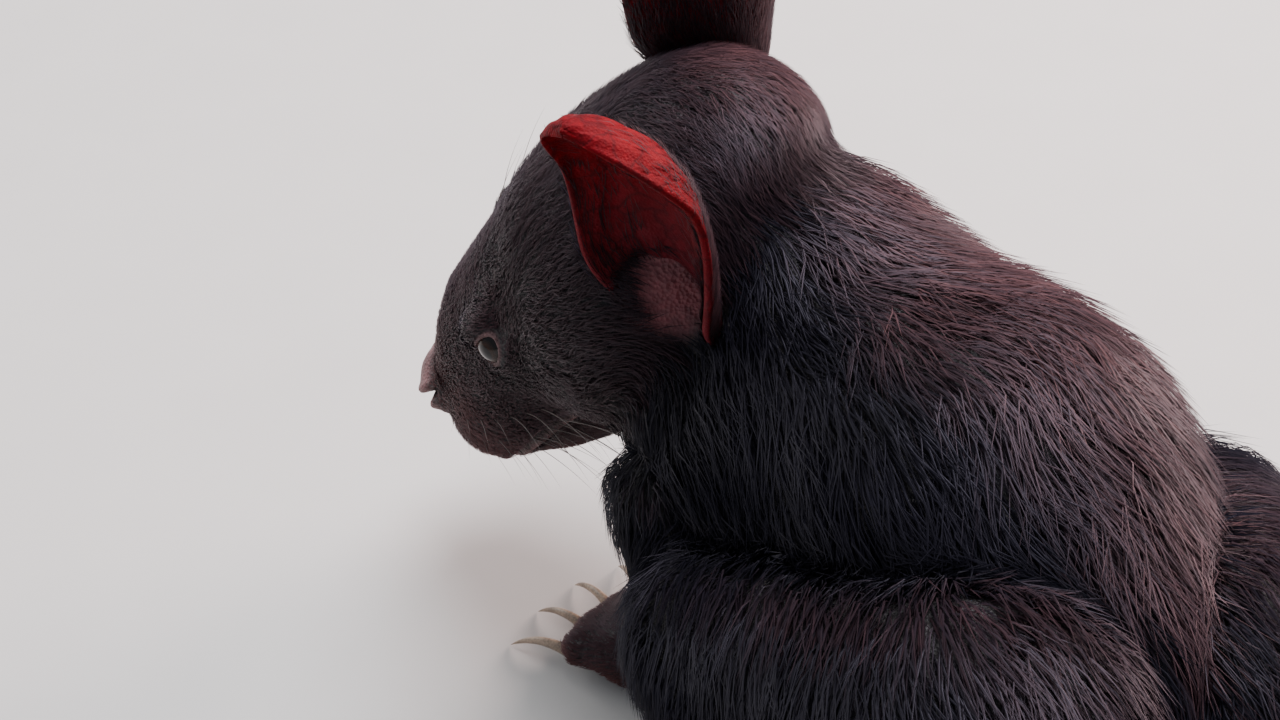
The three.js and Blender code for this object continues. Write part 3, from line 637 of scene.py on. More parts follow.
def flesh_arrays():
    """All flesh nodes and the eyeballs, swollen a little, with the number of its node on each face"""
    all_points, all_faces, all_owners, total = [], [], [], 0
    for number, name in enumerate([*FLESH, "eye_left", "eye_right"]):
        points, faces = node_arrays(name)
        if name in PAWS:
            points = without_claws(points, PAWS[name])
        all_points.append(points + SWELL * vertex_normals(points, faces))
        all_faces.append(faces + total)
        all_owners.append(np.full(len(faces), number))
        total += len(points)
    return np.concatenate(all_points), np.concatenate(all_faces), np.concatenate(all_owners)


def nearest_all(tree, points):
    """The nearest place on a surface to each point, and its face"""
    places, faces = np.empty_like(points), np.empty(len(points), np.int32)
    for n, point in enumerate(points.tolist()):
        place, _, face, _ = tree.find_nearest(point)
        places[n] = place
        faces[n] = face
    return places, faces


COARSEST = 9.0


def skin_size(points):
    """The size of the faces wanted at each place: finest round the eyes, the nose and the lips"""
    size = np.full(len(points), COARSEST)
    local = HEAD.local(points)
    muzzle = smoothstep(local[:, 0], 60, 92) * (np.abs(local[:, 1]) < 60) * (local[:, 0] < NOSE_TIP + 20)
    size = np.where(muzzle > 0.1, np.minimum(size, 2.4 - 1.3 * muzzle), size)
    for side in (LEFT, RIGHT):
        far = np.linalg.norm(points - eye_axes(side).origin, axis=1)
        size = np.minimum(size, 0.7 + 0.10 * np.maximum(far - 11, 0))
    for paw in PAWS.values():
        for toe in toes_of(paw):
            far = np.linalg.norm(points - toe["joint"], axis=1)
            size = np.minimum(size, 1.5 + 0.12 * np.maximum(far - 9, 0))
    return size


# The coat on each kind of flesh: length of the hair, depth of the coat and width of a hair

FUR = {
    "head": (10.0, 2.8, 0.27),
    "nose": (2.4, 0.8, 0.20),
    "neck": (24.0, 8.0, 0.50),
    "torso_front": (27.0, 9.0, 0.52),
    "torso_rear": (27.0, 9.0, 0.52),
    "tail": (17.0, 4.6, 0.48),
    "thigh": (26.0, 8.5, 0.52),
    "shank": (16.0, 5.0, 0.46),
    "hind_foot": (5.5, 1.6, 0.30),
    "upper_arm": (18.0, 6.0, 0.48),
    "forearm": (9.0, 2.8, 0.36),
    "forepaw": (4.6, 1.3, 0.28),
}
LIMBS = ("thigh", "shank", "upper_arm", "forearm")
CREASE_DEPTH = 5.0  # the skin folds in between the trunk and a limb
OWNERS = [*FLESH, "head", "head"]  # the skin over the two eyeballs counts as the head's

# The way that the hair points on parts where it is the same all over
LIE = {
    "neck": -heading(20, 32),
    "torso_front": heading(180, -27),
    "torso_rear": heading(180, -30),
    "thigh": heading(182, -42),
    "shank": heading(181, -52),
    "upper_arm": heading(182, -55),
    "forearm": heading(4, -12),
}


def kind_of(name):
    """A node's name without its side"""
    return name.removesuffix("_left").removesuffix("_right")


def lie_of(name, points):
    """The direction that the hair of a node points in, before it is laid on the skin"""
    kind = kind_of(name)
    if kind in ("head", "nose"):
        nape = 1 - smoothstep(HEAD.local(points)[:, :1], -30, 50)
        from_nose = unit(points - HEAD.place(NOSE_TIP - 4, 0, -4))
        return unit(from_nose * (1 - nape) + LIE["neck"] * nape)
    if name in PAWS:
        return np.tile(heading(PAWS[name]["turn"], -12), (len(points), 1))
    if kind == "tail":
        bend = np.polyder(np.polyfit(points[:, 1], points[:, 0], 2))
        slope = np.polyval(bend, points[:, 1])
        return unit(np.stack([slope, np.ones(len(points)), np.full(len(points), -0.1)], axis=1))
    return np.tile(LIE[kind], (len(points), 1))


def coat_fields(points, faces, owners, edges):
    """Direction, length, depth and width of the hair at each point of the skin"""
    lie = np.zeros((len(points), 3))
    sizes = np.zeros((len(points), 3))
    for number, name in enumerate(OWNERS):
        here = owners == number
        if here.any():
            lie[here] = lie_of(name, points[here])
            sizes[here] = FUR[kind_of(name)]
    ahead = HEAD.local(points)[:, 0]
    face = np.isin(owners, [n for n, name in enumerate(OWNERS) if name in ("head", "nose")])
    sizes[:, 0] *= np.where(face, 1 - 0.68 * smoothstep(ahead, 30, 105), 1.0)
    sizes[:, 1] *= np.where(face, 1 - 0.55 * smoothstep(ahead, 40, 100), 1.0)
    limb = np.isin(owners, [n for n, name in enumerate(OWNERS) if kind_of(name) in LIMBS])
    limb = averaged(limb.astype(float), edges, 9)
    crease = smoothstep(4 * limb * (1 - limb), 0.25, 1.0)
    tail = owners == OWNERS.index("tail")
    thin = tail * smoothstep(points[:, 1], 90, centre_of("tail")[1] + 110)
    sizes[:, 0] *= 1 - 0.10 * thin
    sizes[:, 1] *= 1 - 0.50 * thin
    lie = averaged(lie, edges, 30)
    sizes = averaged(sizes, edges, 14)
    sizes[:, 0] *= 1 - 0.35 * crease
    normals = vertex_normals(points, faces)
    flat = lie - (lie * normals).sum(axis=1, keepdims=True) * normals
    return unit(flat), sizes, crease


EYE_POCKET = 2.2  # how far the skin lies inside the front of the eyeball between the lids


def eye_openings(points, settings):
    """Draws the skin between the lids back behind the eyeball and hugs it with their rims"""
    radius = EYE_RADIUS
    rim = settings.lid / MM
    bare = np.zeros(len(points))
    half = np.array([settings.slit_length, settings.slit_height]) / 2 / MM
    for side in (LEFT, RIGHT):
        eye = eye_axes(side)
        local = eye.local(points)
        along, across, out = local.T
        lifted = across + 0.10 * along**2 / half[0]
        oval = np.hypot(along / half[0], lifted / half[1])
        away = np.linalg.norm(local, axis=1)
        near = (out > 0) & (away < 2.2 * radius)
        inside = near & (oval < 1)
        sunk = radius - EYE_POCKET + (rim + EYE_POCKET) * smoothstep(oval, 0.80, 1.0)
        target = np.where(inside, np.minimum(away, sunk), away)
        hug = near & (oval >= 1) & (oval < 2.0)
        fold = radius + rim + 1.4 * smoothstep(oval, 1.15, 1.9)
        share = 1 - smoothstep(oval, 1.35, 2.0)
        target = np.where(hug, away + share * (fold - away), target)
        scale = np.where(near, target / np.maximum(away, 1e-6), 1.0)
        points = eye.origin + (points - eye.origin) * scale[:, None]
        bare = np.maximum(bare, near * (1 - smoothstep(oval, 1.05, 1.36)))
    return points, bare


def along_path(points, path):
    """Distance of each point from a path of straight stretches"""
    best = np.full(len(points), 1e9)
    for a, b in zip(path[:-1], path[1:]):
        step = b - a
        t = np.clip((points - a) @ step / (step @ step), 0, 1)
        best = np.minimum(best, np.linalg.norm(points - a - t[:, None] * step, axis=1))
    return best


# Paths over the face: ahead, aside and up from the tip of the nose
MOUTH = [(-1, 0, -23), (-8, 14, -25), (-20, 25, -24), (-34, 30, -21), (-50, 30, -19), (-64, 35, -14)]
NOSTRIL = [(5.0, 4.4, -5.0), (4.0, 7.6, -3.2), (0.5, 11.0, 0.0), (-4.5, 12.0, 1.5)]
GROOVE = [(5.0, 0, 4.5), (5.5, 0, -4.0), (3.0, 0, -10.0), (0.5, 0, -20.0)]
NOSTRIL_DEPTH, MOUTH_DEPTH, GROOVE_DEPTH = 4.0, 2.4, 1.3


def face_path(stops, side, tree=None):
    """Stops that are measured from the tip of the nose, as places, on the skin if its tree is given"""
    places = [HEAD.place(NOSE_TIP + f, side * a, u) for f, a, u in stops]
    if tree is None:
        return places
    return [np.array(tree.find_nearest(place)[0]) for place in places]


def nose_and_lips(points, faces):
    """Nostrils, the groove under the nose, the line of the mouth and the rims of the lips, with painted
    shade darkening the nostrils, the mouth's line and the groove
    """
    normals = vertex_normals(points, faces)
    tree = BVHTree.FromPolygons(points.tolist(), faces.tolist())
    bare, dark, move = np.zeros((3, len(points)))
    for side in (LEFT, RIGHT):
        nostril = along_path(points, face_path(NOSTRIL, side, tree))
        wide = np.linalg.norm(points - face_path(NOSTRIL, side)[0], axis=1)
        wide = np.clip(3.4 - 0.16 * wide, 1.6, 3.0)
        move -= NOSTRIL_DEPTH * (1 - smoothstep(nostril, 0.3, wide))
        move += 0.9 * np.exp(-(((nostril - wide - 1.2) / 1.3) ** 2))
        # painted shade in the nostrils
        dark = np.maximum(dark, 1 - smoothstep(nostril, 0.35 * wide, 0.85 * wide))
        lips = along_path(points, face_path(MOUTH, side, tree))
        move -= MOUTH_DEPTH * (1 - smoothstep(lips, 0.2, 2.2))
        move += 0.7 * np.exp(-(((lips - 3.2) / 1.4) ** 2))
        # painted shade along the line of the mouth
        dark = np.maximum(dark, 0.9 * (1 - smoothstep(lips, 0.8, 2.0)))
        bare = np.maximum(bare, 0.75 * (1 - smoothstep(lips, 2.2, 4.2)))
    groove = along_path(points, face_path(GROOVE, 1, tree))
    move -= GROOVE_DEPTH * (1 - smoothstep(groove, 0.2, 1.7))
    # painted shade in the groove under the nose
    dark = np.maximum(dark, 0.5 * (1 - smoothstep(groove, 0.2, 1.1)))
    pad = np.linalg.norm(HEAD.local(points) - (NOSE_TIP + 2, 0, -5), axis=1)
    bare = np.maximum(bare, 1 - smoothstep(pad, 12.0, 15.0))
    move -= 0.6 * np.exp(-(((pad - 14.6) / 1.3) ** 2))
    return points + normals * move[:, None], bare, dark


def ear_bowls(points):
    """Bare skin of the head at the bottom of the ears, hollowed towards the ear canal"""
    bowl = np.zeros(len(points))
    for side in (LEFT, RIGHT):
        ear = ear_axes(side)
        across, out, up = ear.local(points).T
        away = np.hypot(across / 18, (up + 1) / 23)
        here = 1 - smoothstep(away, 0.75, 1.0)
        here = here * smoothstep(out, -3, 2) * (out < 40)
        points = points - ear.rows[1] * (3.5 * np.exp(-((away / 0.5) ** 2)) * here)[:, None]
        bowl = np.maximum(bowl, here)
    return points, bowl


def paw_soles(points):
    """Bare skin under the paws and at the ends of the toes"""
    bare = np.zeros(len(points))
    for paw in PAWS.values():
        for toe in toes_of(paw):
            near = np.linalg.norm(points - toe["end"], axis=1) / paw["radius"]
            bare = np.maximum(bare, 0.85 * (1 - smoothstep(near, 0.7, 1.6)))
        knuckles = np.hypot(points[:, 0] - paw["knuckles"][0], points[:, 1] - paw["knuckles"][1])
        bare = np.maximum(bare, (1 - smoothstep(points[:, 2], 1.5, 6)) * (knuckles < 60))
    return bare


class DEVIL_OT_skin(bpy.types.Operator):
    """One skin over the whole body, inside the flesh by the depth of the coat"""

    bl_idname = "devil.skin"
    bl_label = "Skin"

    def execute(self, context):
        settings = context.scene.devil_skin
        cad_points, cad_faces, cad_owners = flesh_arrays()
        cad_tree = BVHTree.FromPolygons(cad_points.tolist(), cad_faces.tolist())
        points, faces = remeshed(cad_points, cad_faces, settings.voxel)
        edges, _ = edges_of(faces)
        head = smoothstep(HEAD.local(points)[:, 0], 20, 70)
        low = 1 - smoothstep(points[:, 2], 15, 35)
        points = evened(points, edges, 14, 1 - 0.55 * np.maximum(head, low))
        for _ in range(3):
            points, faces = refined(points, faces, skin_size)
            edges, _ = edges_of(faces)
            points = averaged(points, edges, 1, 0.25)
        _, nearest = nearest_all(cad_tree, points)
        lie, sizes, crease = coat_fields(points, faces, cad_owners[nearest], edges)
        points, nose, dark = nose_and_lips(points, faces)
        depth = sizes[:, 1] * (1 - 0.7 * nose) + CREASE_DEPTH * crease
        points = points - vertex_normals(points, faces) * depth[:, None]
        points = averaged(points, edges, 2, 0.3 * smoothstep(depth, 1.5, 4)[:, None])
        points, lids = eye_openings(points, settings)
        points, bowl = ear_bowls(points)
        points[:, 2] = np.maximum(points[:, 2], 0.0)
        bare = np.maximum.reduce([nose, 0.6 * lids, paw_soles(points)])
        mesh = mesh_from("skin", points, faces)
        carried = {
            "bare": bare,
            "bald": np.maximum.reduce([bare, lids, bowl, dark]),
            "bowl": bowl,
            "dark": dark,
            "lie": lie,
            "hair": sizes,
            "owner": cad_owners[nearest].astype(float),
        }
        for name, values in carried.items():
            put_attribute(mesh, name, values)
        finish_piece(link("skin", mesh, hide_material(settings)), "face", *FLESH)
        return {"FINISHED"}


# Eyes


class DEVIL_OT_eyes(bpy.types.Operator):
    """Wet dark eyeballs with an iris, a pupil and a raised cornea"""

    bl_idname = "devil.eyes"
    bl_label = "Eyes"

    def execute(self, context):
        settings = context.scene.devil_eyes
        look = self.look(settings)
        for name, side in (("eye_left", LEFT), ("eye_right", RIGHT)):
            points, faces, gaze = self.ball(eye_axes(side), settings)
            mesh = mesh_from(name + "ball", points, faces)
            put_attribute(mesh, "gaze", gaze)
            finish_piece(link(name + "ball", mesh, look), "eye", name)
        return {"FINISHED"}

    @staticmethod
    def ball(axes, settings, sides=48, rings=34):
        """An eyeball's points, triangles and angles from the way that it looks"""
        radius, cornea = settings.radius / MM - 0.1, settings.cornea / MM
        angle = np.repeat(np.linspace(0, math.pi, rings + 1)[1:-1], sides)
        turn = np.tile(np.arange(sides) * 2 * math.pi / sides, rings - 1)
        angle = np.concatenate([[0.0], angle, [math.pi]])
        turn = np.concatenate([[0.0], turn, [0.0]])
        r = radius + cornea * (1 - smoothstep(angle, 0.1, 0.85))
        across, along = np.sin(angle) * np.cos(turn), np.sin(angle) * np.sin(turn)
        local = r[:, None] * np.stack([across, along, np.cos(angle)], axis=1)
        return axes.origin + local @ axes.rows, globe_faces(sides, rings - 1), angle

    @staticmethod
    def look(settings):
        """Black pupil, brown iris and dark rim, by the angle from the way that the eye looks"""
        made, tree, shader = material("eye", 0.09, Specular_IOR_Level=0.32)
        ramp = put(tree, "ShaderNodeValToRGB", {"Fac": attribute(tree, "gaze")})
        stops = ramp.color_ramp.elements
        stops[0].position, stops[0].color = 0.38, (0.002, 0.0015, 0.0015, 1)
        stops[1].position, stops[1].color = 0.45, rgba(settings.iris)
        for place, tone in ((0.62, 0.6), (0.72, 0.12), (0.95, 0.35)):
            stop = stops.new(place)
            stop.color = rgba(settings.iris, tone)
        tree.links.new(ramp.outputs["Color"], shader.inputs["Base Color"])
        return made


def globe_faces(sides, rings):
    """Triangles over a pole, rings of points and another pole, facing out"""
    faces = []
    last = 1 + rings * sides
    for s in range(sides):
        n = (s + 1) % sides
        faces.append((0, 1 + s, 1 + n))
        faces.append((last, last - sides + n, last - sides + s))
        for r in range(rings - 1):
            a, b = 1 + r * sides + s, 1 + r * sides + n
            faces.append((a, a + sides, b + sides))
            faces.append((a, b + sides, b))
    return np.array(faces, np.int32)


# Ears


def ear_axes(side):
    """Across the ear, out of its cup, and up to its tip, from its root on the head"""
    ahead, aside = (-0.38, 0.22) if side == LEFT else (-0.42, 0.26)
    up = HEAD.aim(ahead, side * aside, 0.9)
    cup = HEAD.aim(0.5, side * 0.85, 0.1) if side == LEFT else HEAD.aim(0.6, side * 0.8, 0.1)
    cup = unit(cup - (cup @ up) * up)
    return Axes(HEAD.place(1, side * 42, 22), side * np.cross(up, cup), cup, up)


def ear_point(settings, t, w, deep):
    """A place on the ear: t from root to tip, w from edge to edge, deep through its wall"""
    height, width, root = (x / MM for x in (settings.height, settings.width, settings.root_width))
    low = 1 - (1 - root / width) * ((0.5 - t) / 0.5) ** 2
    high = np.sqrt(np.maximum(1 - (np.maximum(t - 0.5, 0) / 0.5) ** 2.3, 0.0))
    half = width / 2 * np.where(t < 0.5, low, high) * (0.76 + 0.24 * smoothstep(t, 0.05, 0.36))
    rise = smoothstep(t, 0, 0.7)
    curl = np.radians(100 - 44 * rise)
    radius = half / np.sin(np.minimum(curl, math.pi / 2))
    wall = (settings.thickness + (settings.rim - settings.thickness) * t) / MM
    ridge = np.exp(-(((w - 0.42) / 0.13) ** 2)) + 0.8 * np.exp(-(((w + 0.30) / 0.12) ** 2))
    fold = 1.5 * ridge * np.exp(-(((t - 0.30) / 0.20) ** 2))
    ripple = 0.3 * np.sin(9 * t + 3 * w) + 0.25 * np.sin(17 * w - 4 * t)
    r = radius - deep * (wall + fold) + ripple * smoothstep(t, 0.2, 0.5)
    back = 0.1 + 0.3 * rise
    sway = 4 * np.sin(math.pi * t) - 2 * t
    buried = (16 + 8 * w * w) * (1 - t)
    return np.stack(
        [
            r * np.sin(w * curl),
            radius - r * np.cos(w * curl) - back * radius - sway,
            height * t - buried + 2.5 * (1 - w * w) * t,
        ],
        axis=-1,
    )


EAR_BROWN = 0.42  # how warm the hair on the ears is
EAR_RIM = 1.012  # the round of the wall's edge, in half widths
EAR_TOP = 0.9985  # the last ring before the tip


class DEVIL_OT_ears(bpy.types.Operator):
    """Thin, almost bare ears: cups with folds inside and a rounded rim"""

    bl_idname = "devil.ears"
    bl_label = "Ears"

    def execute(self, context):
        settings = context.scene.devil_ears
        look = self.look(settings)
        fur = fur_material("ear_fur", context.scene.devil_coat)
        for name, side in (("ear_left", LEFT), ("ear_right", RIGHT)):
            axes = ear_axes(side)
            local, height, inner, faces = self.shell(settings)
            points = axes.origin + local @ axes.rows
            mesh = mesh_from(name + "_cup", points, facing_out(points, faces))
            put_attribute(mesh, "height", height)
            put_attribute(mesh, "inner", inner)
            finish_piece(link(name + "_cup", mesh, look), "ear", name)
            hairs = ear_hairs(settings, axes, np.random.default_rng(SEED + 2 + side))
            brown = np.full(len(hairs["width"]), EAR_BROWN)
            fuzz = hair_mesh(name + "_fuzz", hairs, slice(None), brown)
            finish_piece(link(name + "_fuzz", fuzz, fur), "ear")
        return {"FINISHED"}

    @staticmethod
    def shell(settings, rows=64, columns=48):
        """Rings round the wall, from the root to the tip, with round edges"""
        w = np.linspace(-1, 1, columns + 1)
        w = np.concatenate([w, [EAR_RIM], w[::-1], [-EAR_RIM]])
        deep = np.concatenate([np.zeros(columns + 1), [0.5], np.ones(columns + 1), [0.5]])
        t = np.sin(math.pi / 2 * np.linspace(0, 1, rows + 1) ** 0.9) * EAR_TOP
        grid_t, grid_w = np.meshgrid(t, w, indexing="ij")
        grid_deep = np.broadcast_to(deep, grid_t.shape)
        points = ear_point(settings, grid_t, grid_w, grid_deep).reshape(-1, 3)
        ring = len(w)
        here = np.arange(ring)
        ahead = (here + 1) % ring
        start = np.arange(rows)[:, None] * ring
        a, b = (start + here).reshape(-1), (start + ahead).reshape(-1)
        faces = [np.stack([a, b, b + ring], 1), np.stack([a, b + ring, a + ring], 1)]
        first, last = len(points), len(points) + 1
        points = np.concatenate([points, [points[:ring].mean(axis=0)], [points[-ring:].mean(axis=0)]])
        top = rows * ring
        faces.append(np.stack([np.full(ring, first), ahead, here], 1))
        faces.append(np.stack([np.full(ring, last), top + here, top + ahead], 1))
        height = np.concatenate([grid_t.reshape(-1), [0, 1]])
        inner = np.concatenate([grid_deep.reshape(-1), [0.5, 0.5]])
        return points, height, inner, np.concatenate(faces)

    @staticmethod
    def look(settings):
        """Red skin, brighter up the thin part of the ear where it is both the skin's own red and a painted
        glow of light shining through, duller low in the cup, with veins
        """
        made, tree, shader = material("ear_skin", 0.65, Subsurface_Weight=0.12, Specular_IOR_Level=0.06)
        shader.inputs["Subsurface Radius"].default_value = (0.006, 0.0012, 0.0010)
        height, inner = attribute(tree, "height"), attribute(tree, "inner")
        bright = mottled(tree, settings.skin, 0.55, 45.0, 500.0)
        dull = mottled(tree, settings.deep, 0.6, 60.0, 700.0)
        # painted glow: the red brightens up the ear, where the thin skin would let light through, on top of
        # its own red
        rise = put(tree, "ShaderNodeMapRange", {"Value": height, "From Min": 0.05, "From Max": 0.62})
        face = put(tree, "ShaderNodeMapRange", {"Value": inner, "To Min": 0.85, "To Max": 1.0})
        share = maths(tree, "MULTIPLY", rise.outputs["Result"], face.outputs["Result"])
        flesh = blend(tree, share, dull, bright)
        veins = placed_group(tree, veins_group(), {})
        tree.links.new(blend(tree, veins, flesh, rgba(settings.deep, 0.25)), shader.inputs["Base Color"])
        tree.links.new(pored(tree, 1300.0, 220.0, 0.35), shader.inputs["Normal"])
        return made


def ear_hairs(settings, axes, draw, count=4400):
    """Short hair: dense at the root of the ear and on its back, sparse inside and at the rim"""
    t = draw.beta(1.0, 2.9, count) * 0.92
    w = draw.uniform(-1, 1, count)
    inside = draw.uniform(0, 1, count) < 0.14
    w = np.where(inside, np.sign(w) * np.abs(w) ** 0.35, w)
    deep = inside.astype(float)
    reach = np.where(inside, 0.13, 0.15 - 0.07 * t) * draw.uniform(0.6, 1.1, count)
    normal = ear_point(settings, t, w, 0.0) - ear_point(settings, t, w, 1.0)
    normal = unit(normal) * np.where(inside, -1, 1)[:, None]
    drift = draw.normal(0, 0.05, count)

    def at(share, lift):
        here = ear_point(settings, np.minimum(t + share * reach, 0.985), w + drift * share, deep)
        return here + normal * (lift * draw.uniform(0.5, 1.3, count))[:, None]

    stops = np.stack([at(0, -0.6), at(0.5, 0.7), at(1.0, 1.5)], axis=1)
    return {
        "stops": axes.origin + stops @ axes.rows,
        "normal": normal @ axes.rows,
        "width": 0.26 * draw.uniform(0.7, 1.2, count),
        "flat": np.stack([0.5 + 0.45 * w, t], axis=1),
        "tint": draw.uniform(0.3, 1.3, count),
    }


def facing_out(points, faces):
    """The same triangles, turned if they face into the closed surface"""
    a, b, c = (points[faces[:, k]] - points[0] for k in range(3))
    return faces if (a * np.cross(b, c)).sum() > 0 else faces[:, ::-1]


# Coat

HAIR_TRIANGLES = 6
HAIR_ROUNDNESS = 0.55  # how far a hair is shaded as a rod, not as the body under it
PIECE_TRIANGLES = 190000
PATCH = 0.003  # a hair's patch on the bake map
HAIR_SINK = 0.8  # how deep a hair starts in the skin
SHEEN_SIDE = unit(np.array([-0.35, -0.15, 0.92]))  # the way that the back faces where its brownish hair gets a painted warm sheen, towards the warm rim light
SLOTS = {"head": "face", "forepaw": "paw", "hind_foot": "paw", "forearm": "paw"}


def read_attribute(mesh, name, width=1):
    """The numbers that a mesh carries on its points"""
    values = np.empty(len(mesh.attributes[name].data) * width, np.float32)
    mesh.attributes[name].data.foreach_get("vector" if width == 3 else "value", values)
    return values.reshape(-1, width) if width > 1 else values


def unwrap(skin):
    """Flat places of the corners of the skin's triangles, on an unwrap of its own shape"""
    skin.data.uv_layers.new(name="Unwrap")
    bpy.context.view_layer.objects.active = skin
    skin.select_set(True)
    bpy.ops.object.mode_set(mode="EDIT")
    bpy.ops.mesh.select_all(action="SELECT")
    bpy.ops.uv.smart_project(angle_limit=math.radians(66), island_margin=0.002)
    bpy.ops.object.mode_set(mode="OBJECT")
    skin.select_set(False)
    flat = np.empty(len(skin.data.loops) * 2, np.float32)
    skin.data.uv_layers["Unwrap"].data.foreach_get("uv", flat)
    return flat.reshape(-1, 3, 2)


class SkinField:
    """The finished skin with all that the coat needs to know about it"""

    def __init__(self, skin):
        mesh = skin.data
        self.points = np.empty(len(mesh.vertices) * 3)
        mesh.vertices.foreach_get("co", self.points)
        self.points = self.points.reshape(-1, 3) / MM
        self.faces = np.empty(len(mesh.loops), np.int32)
        mesh.loops.foreach_get("vertex_index", self.faces)
        self.faces = self.faces.reshape(-1, 3)
        self.flat = unwrap(skin)
        self.bald = read_attribute(mesh, "bald")
        self.sizes = read_attribute(mesh, "hair", 3)
        self.owner = read_attribute(mesh, "owner")
        self.normals = vertex_normals(self.points, self.faces)
        self.lie = read_attribute(mesh, "lie", 3)
        self.face_lie = unit(self.lie[self.faces].mean(axis=1))
        self.face_normal = unit(self.normals[self.faces].mean(axis=1))
        self.tree = BVHTree.FromPolygons(self.points.tolist(), self.faces.tolist())


def brown_marking_and_sheen(points, normals, kinds):
    """How warm the hair is: 0 is black, a half is brown and 1 is pale; on the back this is brownish hair
    with a painted warm sheen on the side that faces the warm rim light
    """
    ahead = HEAD.local(points)[:, 0]
    face = np.isin(kinds, ("head", "nose"))
    face = face * (0.22 + 0.20 * smoothstep(ahead, 20, 85) + 0.42 * smoothstep(ahead, 88, 128))
    height = points[:, 2]
    arm = np.isin(kinds, ("forearm", "forepaw")) * (0.45 + 0.45 * (1 - smoothstep(height, 6, 22)))
    foot = (kinds == "hind_foot") * (0.25 + 0.45 * (1 - smoothstep(height, 6, 20)))
    # painted warm sheen: the upper back, on its side towards the warm rim light, is painted brown over hair
    # that is brownish there
    ridge = 0.48 * smoothstep(normals @ SHEEN_SIDE, 0.60, 0.95)
    ridge = ridge * smoothstep(height, 90, 130) * np.where(kinds == "thigh", 0.4, 1.0)
    return np.maximum.reduce([face, arm, foot, ridge])


def ripples(points, size, seed):
    """Smooth noise between -1 and 1 from a few crossed waves of about one size"""
    draw = np.random.default_rng(seed)
    total = np.zeros(len(points))
    for _ in range(7):
        wave = unit(draw.normal(size=3)) * 2 * math.pi / (size * draw.uniform(0.7, 1.5))
        total += np.sin(points @ wave + draw.uniform(0, 2 * math.pi))
    return total / 3.2


def turned(vectors, axes, angles):
    """Vectors at right angles to their axes, turned round them"""
    return vectors * np.cos(angles)[:, None] + np.cross(axes, vectors) * np.sin(angles)[:, None]


def hair_arrays(skin, draw, layers):
    """Root, middle and tip of every hair, laid along the skin, and what is known at its root"""
    corners = skin.faces
    size = skin.sizes[corners].mean(axis=1)
    bald = skin.bald[corners].mean(axis=1)
    area = np.linalg.norm(face_normals(skin.points, corners), axis=1)
    thick = layers * (0.42 + 0.58 * smoothstep(size[:, 0], 5, 16))
    want = thick / (0.5 * size[:, 0] * size[:, 2]) * (1 - smoothstep(bald, 0.15, 0.75))
    want *= size[:, 0] > 1.2
    total = int((area * want).sum())
    chosen = np.sort(draw.choice(len(corners), total, p=area * want / (area * want).sum()))
    mix = draw.dirichlet((1, 1, 1), total)

    def at_root(values):
        return (values[corners[chosen]] * mix[:, :, None]).sum(axis=1)

    root = at_root(skin.points)
    normal = unit(at_root(skin.normals))
    lie = unit(at_root(skin.lie))
    sizes = at_root(skin.sizes)
    reach = sizes[:, 0] * draw.uniform(0.7, 1.15, total)
    wander = 9 * draw.normal(size=total) + 12 * ripples(root, 26, 3) + 7 * ripples(root, 9, 5)
    wander = np.radians(wander)
    lie = turned(unit(lie - (lie * normal).sum(axis=1, keepdims=True) * normal), normal, wander)
    rise = draw.uniform(0.25, 1.05, total) + 0.16 * ripples(root, 12, 8)
    rise = sizes[:, 1] * np.clip(rise, 0.15, 1.15)
    stops, here, way = [root - normal * HAIR_SINK], root, lie
    for share, lift in ((0.5, 0.62), (1.0, 1.0)):
        ahead = here + way * (reach * 0.5)[:, None]
        here, face = nearest_all(skin.tree, ahead)
        up = skin.face_normal[face]
        stops.append(here + up * (rise * lift)[:, None])
        way = turned(unit(skin.face_lie[face]), up, wander * 1.15)
    flat = (skin.flat[chosen] * mix[:, :, None]).sum(axis=1)
    return {
        "stops": np.stack(stops, axis=1),
        "normal": normal,
        "width": sizes[:, 2] * draw.uniform(0.75, 1.2, total),
        "flat": flat,
        "owner": np.round(skin.owner[corners[chosen, 0]]).astype(int),
        "tint": 0.85 + draw.uniform(-0.5, 0.45, total) * smoothstep(sizes[:, 0], 1, 12),
        "root": root,
    }


